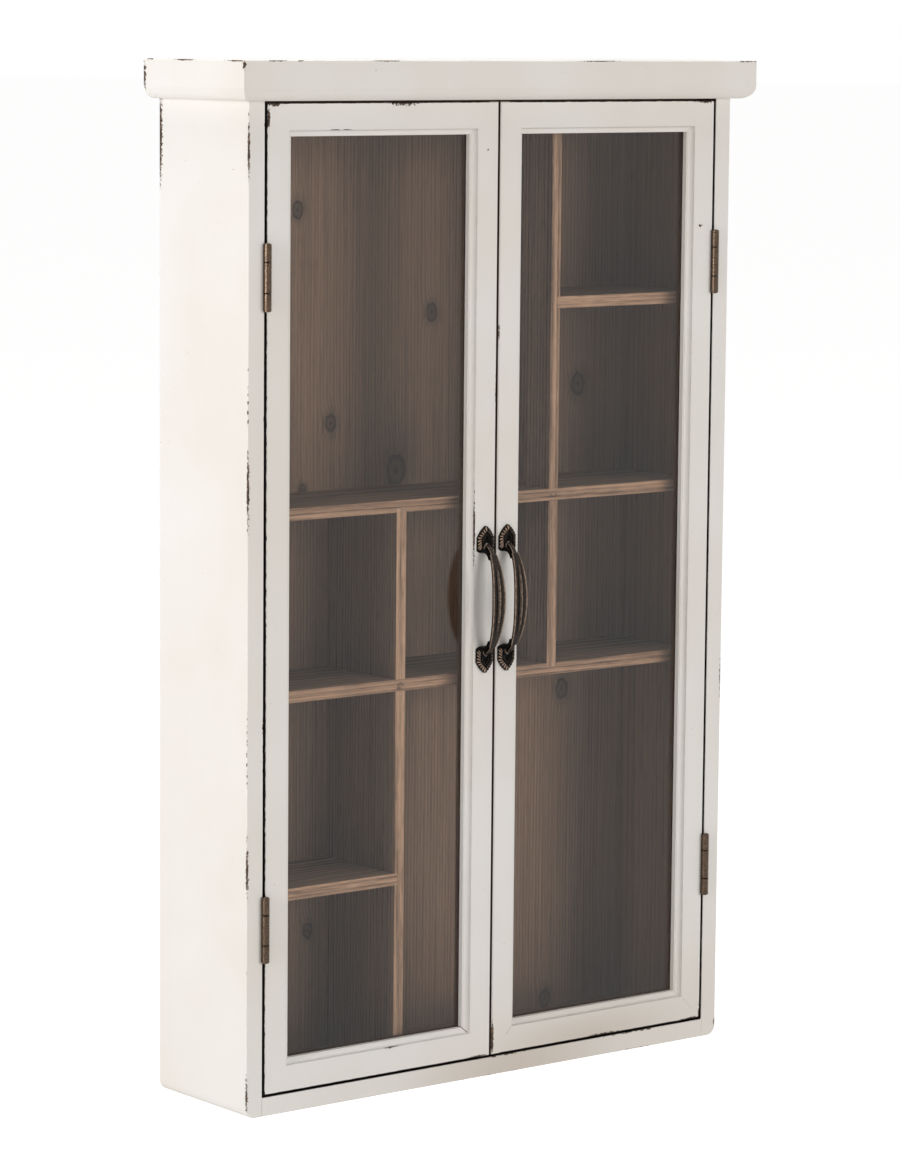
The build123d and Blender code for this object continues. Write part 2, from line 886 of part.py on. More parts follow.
def catch_body():
    """The catch's moulded block and its base."""
    y1 = catch_y + catch_block_depth
    half = catch_block_width / 2
    core = block(-half, half, catch_y, y1, ceiling_z - catch_block_height, ceiling_z)
    base_half = catch_base_width / 2
    base = block(-base_half, base_half, catch_y, y1, ceiling_z - catch_base_height, ceiling_z)
    body = core + base
    body = cut_all(body, [magnet_pocket(x) for x in (-catch_from_centre, catch_from_centre)])
    return cut_all(body, catch_screws(fixing_clearance))


def strike_plate():
    """The steel plate on the back of the left door's meeting stile."""
    y0 = face_y + door_thickness
    half = strike_width / 2
    rise = strike_height / 2
    plate = block(
        -catch_from_centre - half,
        -catch_from_centre + half,
        y0,
        y0 + strike_thickness,
        catch_middle_z - rise,
        catch_middle_z + rise,
    )
    return plate - strike_screw(fixing_clearance)


def strike_screw(extra=0.0):
    """The flush screw through the left strike plate."""
    y0 = face_y + door_thickness + strike_thickness
    head = strike_screw_radius + strike_thickness + extra
    size = (head, strike_screw_radius + extra, strike_screw_length)
    return countersunk((-catch_from_centre, y0, catch_middle_z), (0, -1, 0), *size)


# Hanging plates at the back of the cap board

plate_z = carcass_height + cornice_height / 2


def hanging_plate_places():
    """Distances of the two plates from the middle."""
    return (-plate_spacing / 2, plate_spacing / 2)


def hanging_plate_recess(x):
    """The bed of one plate and the pocket behind its hole."""
    bed = block(
        x - plate_width / 2,
        x + plate_width / 2,
        back_y - plate_thickness,
        back_y,
        plate_z - plate_height / 2,
        plate_z + plate_height / 2,
    )
    deep = back_y - plate_thickness - plate_pocket_depth
    return bed + rod_y(x, deep, back_y, plate_z, plate_pocket_radius)


def hanging_plate(x):
    """One flush plate with its round hole."""
    plate = block(
        x - plate_width / 2,
        x + plate_width / 2,
        back_y - plate_thickness,
        back_y,
        plate_z - plate_height / 2,
        plate_z + plate_height / 2,
    )
    plate = plate - rod_y(x, back_y - plate_thickness, back_y, plate_z, plate_hole_radius)
    return cut_all(plate, hanging_plate_screws(fixing_clearance))


def hanging_plate_screws(extra=0.0):
    """Two flush screws through each plate."""
    screws = []
    for x in hanging_plate_places():
        for offset in (-plate_screw_spread / 2, plate_screw_spread / 2):
            start = (x + offset, back_y, plate_z)
            size = (plate_screw_head + extra, plate_screw_radius + extra, plate_screw_length)
            screws.append(countersunk(start, (0, -1, 0), *size))
    return screws


# Everything is written below, the fixed pieces first

os.makedirs("parts", exist_ok=True)

plain_side = side_panel()
left_side = cut_all(plain_side, [side_housing(z) for z in (lower_left_z, middle_z, upper_z)])
right_side = cut_all(plain_side, [side_housing(z) for z in (middle_z, upper_z, upper_right_z)])
save("side_panel_left", left_side)
save("side_panel_right", mirrored(right_side))
save("bottom_panel", bottom_panel())
save("top_panel", ceiling_panel())
save("back_panel", back_panel())
save("cap_board", cap_board())
save("cornice_front", cornice_front())
save("cornice_left", cornice_side())
save("cornice_right", mirrored(cornice_side()))
save("shelf_upper", shelf_upper())
save("shelf_middle", shelf_middle())
save("shelf_lower_left", shelf_lower_left())
save("shelf_upper_right", shelf_upper_right())
save("divider_left", divider_left())
save("divider_right", divider_right())

carcass_leaves = [carcass_leaf(z) for z in hinge_starts]
door_leaves = [door_leaf(z) for z in hinge_starts]
pins = [hinge_pin(z) for z in hinge_starts]
hinge_stile, meeting_stile, top_rail, bottom_rail = door_frame()
door_pieces = {
    "door_{}_hinge_stile": [hinge_stile],
    "door_{}_meeting_stile": [meeting_stile],
    "door_{}_top_rail": [top_rail],
    "door_{}_bottom_rail": [bottom_rail],
    "door_{}_glass": [door_glass()],
    "door_{}_beads": door_beads(),
    "hinge_leaves_carcass_{}": carcass_leaves,
    "hinge_leaves_door_{}": door_leaves,
    "hinge_pins_{}": pins,
    "hinge_screws_carcass_{}": carcass_leaf_screws(),
    "hinge_screws_door_{}": door_leaf_screws(),
    "handle_{}": [handle()],
    "handle_screws_{}": handle_screws(),
    "strike_plate_{}": [strike_plate()],
    "strike_screw_{}": [strike_screw()],
}
for name, solids in door_pieces.items():
    save(name.format("left"), *solids)
    save(name.format("right"), *[mirrored(solid) for solid in solids])

save("magnet_catch", catch_body())
save("catch_magnets", *[magnet_pocket(x) for x in (-catch_from_centre, catch_from_centre)])
save("catch_screws", *catch_screws())
save("hanging_plates", *[hanging_plate(x) for x in hanging_plate_places()])
save("hanging_plate_screws", *hanging_plate_screws())
save("carcass_dowels", *left_dowels(), *[mirrored(dowel) for dowel in left_dowels()])
save("cap_screws", *cap_screws())
save("back_panel_pins", *back_pins())
save("shelf_nails", *shelf_nails())

print("doors", round(door_inner_x - door_outer_x, 2), "wide,", round(door_top - door_bottom, 2), "tall")
print("hinge axis", axis_x, axis_y)
print("front face at", face_y, "back at", back_y)
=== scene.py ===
"""Looks for a shallow two-door glazed display cabinet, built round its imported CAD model.

The boards, door frames, panes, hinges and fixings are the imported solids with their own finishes.
The two cast bow pulls are modelled here in full, on the places of the plain ones.
X runs to the right, Y from the doors to the back, Z up. Lengths are in metres, except in the
classes and arguments whose docstring says millimetres.
"""

import logging
from collections.abc import Callable
from dataclasses import dataclass, replace
from enum import Enum
from functools import cache, partial, reduce
from math import cos, pi, radians, sin

import bmesh
import bpy
import numpy as np
from mathutils import Matrix, Vector


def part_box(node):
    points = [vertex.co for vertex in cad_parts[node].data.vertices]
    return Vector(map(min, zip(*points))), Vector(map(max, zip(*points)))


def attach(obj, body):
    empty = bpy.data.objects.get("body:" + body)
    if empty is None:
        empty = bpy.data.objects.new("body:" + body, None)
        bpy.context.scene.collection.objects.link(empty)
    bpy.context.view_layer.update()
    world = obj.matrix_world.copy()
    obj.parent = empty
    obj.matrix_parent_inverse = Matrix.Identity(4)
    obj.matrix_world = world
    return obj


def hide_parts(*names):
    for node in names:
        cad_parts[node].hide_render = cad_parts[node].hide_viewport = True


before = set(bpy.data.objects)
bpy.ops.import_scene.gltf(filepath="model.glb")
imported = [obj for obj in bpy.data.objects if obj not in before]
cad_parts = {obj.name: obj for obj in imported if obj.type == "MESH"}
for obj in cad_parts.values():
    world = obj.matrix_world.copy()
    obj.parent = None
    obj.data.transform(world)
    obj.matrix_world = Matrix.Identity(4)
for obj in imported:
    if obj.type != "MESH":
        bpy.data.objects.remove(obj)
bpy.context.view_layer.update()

log = logging.getLogger("cabinet")

Triple = tuple[float, float, float]
MM = 0.001
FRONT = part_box("bottom_panel")[0].y
ORIGIN: Triple = (0.0, 0.0, 0.0)
ONES: Triple = (1.0, 1.0, 1.0)


class Along(Enum):
    """The axis that a board's grain runs along, with the turn that brings it upright."""

    X = (0.0, radians(90), 0.0)
    Z = (0.0, 0.0, 0.0)


class Side(Enum):
    """A door's side of the cabinet; its value is the sign of X there."""

    LEFT = -1
    RIGHT = 1

    @property
    def word(self) -> str:
        """The side's name as the CAD nodes write it."""
        return self.name.lower()


def tint(red: int, green: int, blue: int) -> Triple:
    """The linear colour of a screen colour.

    Args:
        red: Red, from 0 to 255.
        green: Green, from 0 to 255.
        blue: Blue, from 0 to 255.

    Returns:
        The three linear parts, each the standard curve of its share of 255.
    """
    parts = np.array([red, green, blue]) / 255
    curve = np.where(parts <= 0.04045, parts / 12.92, ((parts + 0.055) / 1.055) ** 2.4)
    return tuple(float(part) for part in curve)


def arithmetic(operation: str) -> Callable[..., "Wire"]:
    """A method of a wire that makes one step of arithmetic.

    Args:
        operation: The step's name, as the node writes it.

    Returns:
        The method, which takes the values that follow the wire.
    """

    def method(wire: "Wire", *others: "Value") -> "Wire":
        """The step's result."""
        return wire.graph.step(operation, wire, *others)

    return method


@dataclass(frozen=True, eq=False)
class Wire:
    """An output socket whose value goes into plain arithmetic; < and > give 1 or 0."""

    graph: "Graph"
    socket: bpy.types.NodeSocket

    __add__ = arithmetic("ADD")
    __sub__ = arithmetic("SUBTRACT")
    __mul__ = arithmetic("MULTIPLY")
    __truediv__ = arithmetic("DIVIDE")
    __lt__ = arithmetic("LESS_THAN")
    __gt__ = arithmetic("GREATER_THAN")
    __abs__ = arithmetic("ABSOLUTE")
    length = property(arithmetic("LENGTH"))

    def __rsub__(self, other: "Value") -> "Wire":
        """The difference from a plain value."""
        return self.graph.step("SUBTRACT", other, self)

    def clamped(self) -> "Wire":
        """The number that a step has just made, kept from 0 to 1."""
        self.socket.node.use_clamp = True
        return self


Value = Wire | float | Triple


class Graph:
    """Adds nodes to one node tree and joins them."""

    def __init__(self, tree: bpy.types.NodeTree) -> None:
        """Start in a tree, keeping what it holds."""
        self.tree = tree

    def feed(self, socket: bpy.types.NodeSocket, value: Value) -> None:
        """Join a socket to a wire, or set its own value.

        Args:
            socket: The input.
            value: What goes into it.
        """
        if isinstance(value, Wire):
            self.tree.links.new(value.socket, socket)
        else:
            socket.default_value = (*value, 1.0) if socket.type == "RGBA" else value

    def node(
        self, kind: str, values: dict[str | int, Value] | None = None, **settings: object
    ) -> list[Wire]:
        """Add a node, set it up and feed it.

        Args:
            kind: The node's type, without its leading ShaderNode.
            values: What goes into its inputs, by their names or numbers.
            settings: Properties to set on it.

        Returns:
            Its outputs.
        """
        made = self.tree.nodes.new(kind if kind.startswith("Node") else "ShaderNode" + kind)
        for name, setting in settings.items():
            setattr(made, name, setting)
        for name, value in (values or {}).items():
            self.feed(made.inputs[name], value)
        return [Wire(self, socket) for socket in made.outputs]

    def named(
        self, kind: str, values: dict[str, Value] | None = None, **settings: object
    ) -> dict[str, Wire]:
        """The outputs of a new node by name; it takes what node takes."""
        return {wire.socket.name: wire for wire in self.node(kind, values, **settings)}

    def step(self, operation: str, *values: Value) -> Wire:
        """One step of arithmetic, on vectors where one of its values is a vector.

        Args:
            operation: The step's name, as the node writes it.
            values: What it works on, in order.

        Returns:
            The result.
        """
        kinds = {value.socket.type for value in values if isinstance(value, Wire)}
        vector = "VECTOR" in kinds or any(isinstance(value, tuple) for value in values)
        kind = "VectorMath" if vector else "Math"
        made = self.node(kind, dict(enumerate(values)), operation=operation)
        return made[1 if operation == "LENGTH" else 0]

    def largest(self, *values: Value) -> Wire:
        """The largest of some values."""
        return reduce(partial(self.step, "MAXIMUM"), values)

    def smallest(self, first: Value, second: Value) -> Wire:
        """The smaller of two values."""
        return self.step("MINIMUM", first, second)

    def bell(self, far: Wire, narrow: float = 1.0) -> Wire:
        """The bell curve: e to the power of minus narrow times far squared."""
        return self.step("EXPONENT", far * far * -narrow)

    def place(self) -> Wire:
        """The point's place on its own object."""
        return self.named("TexCoord")["Object"]

    def parts(self, vector: Wire) -> list[Wire]:
        """The three parts of a vector."""
        return self.node("SeparateXYZ", {0: vector})

    def noise(self, vector: Wire, scale: Value, detail: float = 2.0, rough: float = 0.5) -> Wire:
        """Soft noise from 0 to 1 about a half.

        Args:
            vector: Where it is read.
            scale: Spots a metre.
            detail: Layers of finer noise.
            rough: How strong the finer layers are.

        Returns:
            The noise's strength.
        """
        values = {"Vector": vector, "Scale": scale, "Detail": detail, "Roughness": rough}
        return self.node("TexNoise", values)[0]

    def streaks(
        self, place: Wire, short: float, scale: float, detail: float = 2.0, rough: float = 0.5
    ) -> Wire:
        """Noise that is drawn out upwards: its height counts short times."""
        return self.noise(place * (1.0, 1.0, short), scale, detail, rough)

    def ramp(
        self, value: Value, low: Value, high: Value, start: Value = 0.0, end: Value = 1.0
    ) -> Wire:
        """A smooth step from start to end, while value goes from low to high."""
        span = {"Value": value, "From Min": low, "From Max": high, "To Min": start, "To Max": end}
        return self.node("MapRange", span, interpolation_type="SMOOTHSTEP")[0]

    def mix(self, factor: Value, first: Value, second: Value) -> Wire:
        """A colour between two others."""
        return self.node("Mix", {0: factor, 6: first, 7: second}, data_type="RGBA")[2]

    def patch(self, place: Wire, spot: "Spot") -> Wire:
        """A soft patch: 1 in its middle, the bell curve of the distance over its size round it."""
        return self.bell(((place - spot.centre) / spot.size).length)

    def bump(self, height: Wire, distance: float, strength: float = 1.0) -> Wire:
        """A normal bent by a map in which a height of 1 stands as high as distance says."""
        values = {"Height": height, "Distance": distance, "Strength": strength}
        return self.node("Bump", values)[0]

    def group(self, tree: bpy.types.NodeTree, **values: Value) -> dict[str, Wire]:
        """Put in a shared group, feed its inputs and give its outputs, all by name."""
        return self.named("Group", values, node_tree=tree)

    def shader(self, values: dict[str, Value], kind: str = "BsdfPrincipled") -> Wire:
        """A shader, fed by name."""
        return self.node(kind, values)[0]

    def blend(self, share: Wire, first: Wire, second: Wire) -> Wire:
        """A shader between two others."""
        return self.node("MixShader", {0: share, 1: first, 2: second})[0]

    def end(self, shader: Wire, kind: str = "OutputMaterial") -> None:
        """Let a shader be what the tree shows."""
        self.node(kind, {"Surface": shader})


class Effect:
    """A shared node group: named inputs, the nodes between, and named numbers that come out."""

    KINDS = {float: "NodeSocketFloat", tuple: "NodeSocketVector"}

    def __init__(self, name: str, **inputs: float | Triple) -> None:
        """Start a group.

        Args:
            name: The group's name.
            inputs: Each input's name and default value.
        """
        self.tree = bpy.data.node_groups.new(name, "ShaderNodeTree")
        for title, default in inputs.items():
            self.socket(title, "INPUT", self.KINDS[type(default)]).default_value = default
        self.graph = Graph(self.tree)
        self.given = self.graph.named("NodeGroupInput")

    def socket(self, title: str, way: str, kind: str) -> bpy.types.NodeTreeInterfaceSocket:
        """Add a socket to the group's face."""
        return self.tree.interface.new_socket(name=title, in_out=way, socket_type=kind)

    def close(self, **results: Wire) -> bpy.types.NodeTree:
        """Finish the group.

        Args:
            results: The name of each output and what goes into it.

        Returns:
            The finished group.
        """
        for title in results:
            self.socket(title, "OUTPUT", self.KINDS[float])
        self.graph.node("NodeGroupOutput", results)
        return self.tree


@cache
def edge_wear() -> bpy.types.NodeTree:
    """Paint rubbed off along a board's edges.

    The distance to the nearest edge of a box is the middle one of the three distances to its
    nearest faces. The paint is gone where that is less than a reach that broad and fine noise make
    ragged.

    Returns:
        A group with the worn mask.
    """
    effect = Effect("edge wear", Position=ORIGIN, Low=ORIGIN, High=ONES, Reach=0.0015, Amount=0.5)
    g, given = effect.graph, effect.given
    place = given["Position"]
    x, y, z = g.parts(g.smallest(abs(place - given["Low"]), abs(given["High"] - place)))
    edge = g.largest(g.smallest(x, y), g.smallest(g.largest(x, y), z))
    start = 0.72 - given["Amount"] * 0.3
    where = g.ramp(g.noise(place, 9.0, 1.0), start, start + 0.1)
    fine = g.ramp(g.noise(place, 240.0, 4.0, 0.65), 0.42, 0.7)
    return effect.close(Worn=g.ramp(given["Reach"] * where * fine - edge, 0.0, 0.12 * MM))


@cache
def chip() -> bpy.types.NodeTree:
    """One chip knocked out of the paint: an ellipsoid with a ragged rim, added to those before.

    Returns:
        A group with the worn mask.
    """
    effect = Effect("chip", Position=ORIGIN, Centre=ORIGIN, Size=ORIGIN, Before=0.0)
    g, given = effect.graph, effect.given
    place = given["Position"]
    far = ((place - given["Centre"]) / given["Size"]).length
    ragged = far + (g.noise(place, 520.0, 4.0, 0.75) - 0.5) * 4.0
    return effect.close(Worn=g.largest(g.ramp(ragged, 1.0, 0.9), given["Before"]))


@cache
def frame_lines() -> bpy.types.NodeTree:
    """Lines that follow a mitred door frame.

    Across is the distance from the door's nearest outer edge. The mitre is where the distances
    from the nearest upright and the nearest level edge are the same; it is open from a noisy
    distance on. The quirk is the fine groove at its own distance.

    Returns:
        A group with the distance across, the mitre's mask and the quirk's mask.
    """
    quirk_in = 20.5 * MM
    effect = Effect("frame lines", Position=ORIGIN, Low=ORIGIN, High=ORIGIN, Quirk=quirk_in)
    g, given = effect.graph, effect.given
    place = given["Position"]
    x, _, z = g.parts(g.smallest(place - given["Low"], given["High"] - place))
    across = g.smallest(x, z)
    open_from = g.ramp(g.noise(place, 6.0, 1.0), 0.52, 0.7, quirk_in, 8 * MM)
    shown = g.ramp(across - open_from, 0.0, 0.8 * MM)
    mitre = g.ramp(abs(x - z), 0.8 * MM, 0.3 * MM) * shown
    wobble = g.ramp(g.noise(place, 160.0, 3.0), 0.2, 0.7, 0.5, 1.0)
    quirk = g.ramp(abs(across - given["Quirk"]), 0.8 * MM, 0.2 * MM) * wobble
    return effect.close(Across=across, Mitre=mitre, Quirk=quirk)


@cache
def pine_grain() -> bpy.types.NodeTree:
    """The figure of a softwood board whose grain runs along Z.

    Growth rings are the distance from the tree's heart, which wanders along the board, over the
    ring width. Fibres are fine strands drawn far along the grain and flecks drawn less far, and
    blotches are broad noise.

    Returns:
        A group with the ring count, the fibres and the blotches.
    """
    sizes = {"Heart": (0.03, 0.09, 0.0), "Ring": 0.006, "Wander": 0.02}
    effect = Effect("pine grain", Position=ORIGIN, **sizes)
    g, given = effect.graph, effect.given
    place = given["Position"]
    wander = (g.streaks(place, 0.1, 14.0, 2.0, 0.45) - 0.5) * given["Wander"]
    rings = ((place - given["Heart"]) * (1.0, 1.0, 0.0)).length + wander
    strands = g.streaks(place, 0.012, 420.0, 4.0, 0.72)
    flecks = g.streaks(place, 0.09, 620.0, 4.0, 0.78)
    return effect.close(
        Rings=rings / given["Ring"],
        Fibres=strands * 0.55 + flecks * 0.45,
        Blotches=g.streaks(place, 0.3, 26.0, 3.0, 0.55),
    )


@cache
def knot() -> bpy.types.NodeTree:
    """One knot, added to the rings and the dark spots before it.

    Near the knot the ring count rises by a bell curve, so the rings close up into loops round it.
    It has a dark heart, a less dark core, a dark rim and a faint halo.

    Returns:
        A group with the new ring count and the new dark mask.
    """
    sizes = {"Radius": 0.006, "Rings": 0.0, "Dark": 0.0}
    effect = Effect("knot", Position=ORIGIN, Centre=ORIGIN, **sizes)
    g, given = effect.graph, effect.given
    place = given["Position"]
    far = ((place - given["Centre"]) * (1.0, 1.0, 0.75)).length / given["Radius"]
    ragged = far + (g.noise(place, 260.0, 2.0) - 0.5) * 0.7
    core = g.ramp(ragged, 1.15, 0.95) * 0.72
    heart = g.ramp(far, 0.55, 0.25)
    rim = g.ramp(abs(ragged - 1.0), 0.3, 0.12)
    halo = g.ramp(ragged, 2.8, 1.0) * 0.35
    dark = g.largest(core, rim, heart, halo, given["Dark"])
    return effect.close(Rings=given["Rings"] + g.bell(far, 0.3) * 2.2, Dark=dark)


@cache
def patina() -> bpy.types.NodeTree:
    """Blotchy tarnish on a metal, and the fine unevenness of its casting.

    Returns:
        A group with the tarnish's mask and the unevenness.
    """
    effect = Effect("patina", Position=ORIGIN, Scale=220.0)
    g, given = effect.graph, effect.given
    broad = g.noise(given["Position"], given["Scale"], 4.0, 0.6)
    fine = g.noise(given["Position"], given["Scale"] * 9.0)
    return effect.close(Tarnish=g.ramp(broad, 0.38, 0.66), Grit=fine)


@dataclass(frozen=True)
class Spot:
    """A place on a piece for a chip, a knot, a stain or a patch of painted shade, in millimetres.

    Depth is from the front. Wide, deep and tall are half sizes along X, Y and Z; the last two are
    as wide says where they are 0.
    """

    x: float
    depth: float
    z: float
    wide: float
    deep: float = 0.0
    tall: float = 0.0

    @property
    def centre(self) -> Triple:
        """Its middle, in metres."""
        return (self.x * MM, FRONT + self.depth * MM, self.z * MM)

    @property
    def size(self) -> Triple:
        """Half its size along each axis, in metres."""
        return (self.wide * MM, (self.deep or self.wide) * MM, (self.tall or self.wide) * MM)


def new_material(name: str) -> tuple[bpy.types.Material, Graph]:
    """An empty material.

    Args:
        name: The material's name.

    Returns:
        The material and its graph.
    """
    made = bpy.data.materials.new(name)
    made.use_nodes = True
    made.node_tree.nodes.clear()
    return made, Graph(made.node_tree)


@dataclass(frozen=True)
class Pine:
    """Softwood under a brown stain, which is thinner on the front edge of a board.

    Ring, wander and edge are in millimetres. The edge ends at that depth from the front; behind it
    the colour is multiplied by painted_face_shade, partly for a heavier stain on the faces and
    partly as painted shade for faces inside the cabinet. Figure is how strongly the grain shows,
    and stains_and_shade are soft dark patches, each with its strength: real stains and marks, and
    painted shade.
    """

    dark: Triple = tint(84, 58, 42)
    light: Triple = tint(176, 135, 106)
    knot: Triple = tint(34, 22, 16)
    ring: float = 3.4
    wander: float = 9.0
    roughness: float = 0.72
    painted_face_shade: float = 1.0
    edge: float = 23.0
    figure: float = 1.0
    stains_and_shade: tuple[tuple[Spot, float], ...] = ()

    def colour(
        self, g: Graph, place: Wire, along: Along, heart: Triple, knots: tuple[Spot, ...] = ()
    ) -> tuple[Wire, Wire]:
        """The stained wood's colour and height at a place.

        In each ring the wood darkens slowly to its end and starts again over a short way.

        Args:
            g: The material's graph.
            place: The point on the piece.
            along: The axis that the grain runs along.
            heart: Where the tree's heart lies beside the board, with the grain turned upright.
            knots: Knots, given with the grain turned upright.

        Returns:
            The colour, and a height from 0 to 1.
        """
        upright = g.node("Mapping", {"Vector": place, "Rotation": along.value})[0]
        sizes = {"Heart": heart, "Ring": self.ring * MM, "Wander": self.wander * MM}
        grain = g.group(pine_grain(), Position=upright, **sizes)
        figure = {"Rings": grain["Rings"], "Dark": 0.0}
        for spot in knots:
            size = {"Centre": spot.centre, "Radius": spot.wide * MM}
            figure = g.group(knot(), Position=upright, **size, **figure)
        phase = g.step("FRACT", figure["Rings"])
        late = g.ramp(phase, 0.35, 0.97) * g.ramp(phase, 1.0, 0.97)
        band = late + (1.0 - g.ramp(phase, 0.0, 0.07)) * 0.6
        fibres, blotches = grain["Fibres"] - 0.5, grain["Blotches"] - 0.5
        tone = band * -0.24 + fibres * 2.5 + blotches * 0.3
        colour = g.mix((tone * self.figure + 0.68).clamped(), self.dark, self.light)
        # Soft dark patches: real stains and nail marks, and on the back board painted shade too.
        for spot, strength in self.stains_and_shade:
            colour = g.mix(g.patch(place, spot) * strength, colour, self.dark)
        if knots:
            colour = g.mix(figure["Dark"] * 0.9, colour, self.knot)
        # Painted shade: behind the front edge the colour is darkened, partly for a heavier stain
        # on the faces and partly for the shade inside the cabinet.
        if self.painted_face_shade < 1:
            behind = g.parts(place)[1] > self.edge * MM + FRONT
            shaded = g.node("VectorMath", {0: colour, 3: self.painted_face_shade}, operation="SCALE")
            colour = g.mix(behind, colour, shaded[0])
        return colour, grain["Fibres"] - band * 0.35

    def material(
        self,
        name: str,
        along: Along,
        heart: Triple = (0.03, 0.09, 0.0),
        knots: tuple[Spot, ...] = (),
    ) -> bpy.types.Material:
        """A whole board of it.

        Args:
            name: The material's name.
            along: The axis that the grain runs along.
            heart: Where the tree's heart lies beside the board, with the grain turned upright.
            knots: Knots, given with the grain turned upright.

        Returns:
            The material.
        """
        made, g = new_material(name)
        colour, height = self.colour(g, g.place(), along, heart, knots)
        rough = self.roughness - height * 0.2
        normal = g.bump(height, 0.3 * MM, 0.6)
        g.end(g.shader({"Base Color": colour, "Roughness": rough, "Normal": normal}))
        return made


@dataclass(frozen=True)
class Bared:
    """The part of a painted board that was only stained, in metres.

    It lies past start along an axis, 0 for X and 2 for Z, the way that sign says, and deeper than
    a ragged line at depth. Its front lip, which the doors' gaps show, is painted shade that fades
    out over lip.
    """

    axis: int
    sign: int
    start: float
    depth: float = FRONT + 0.4 * MM
    lip: float = 5 * MM


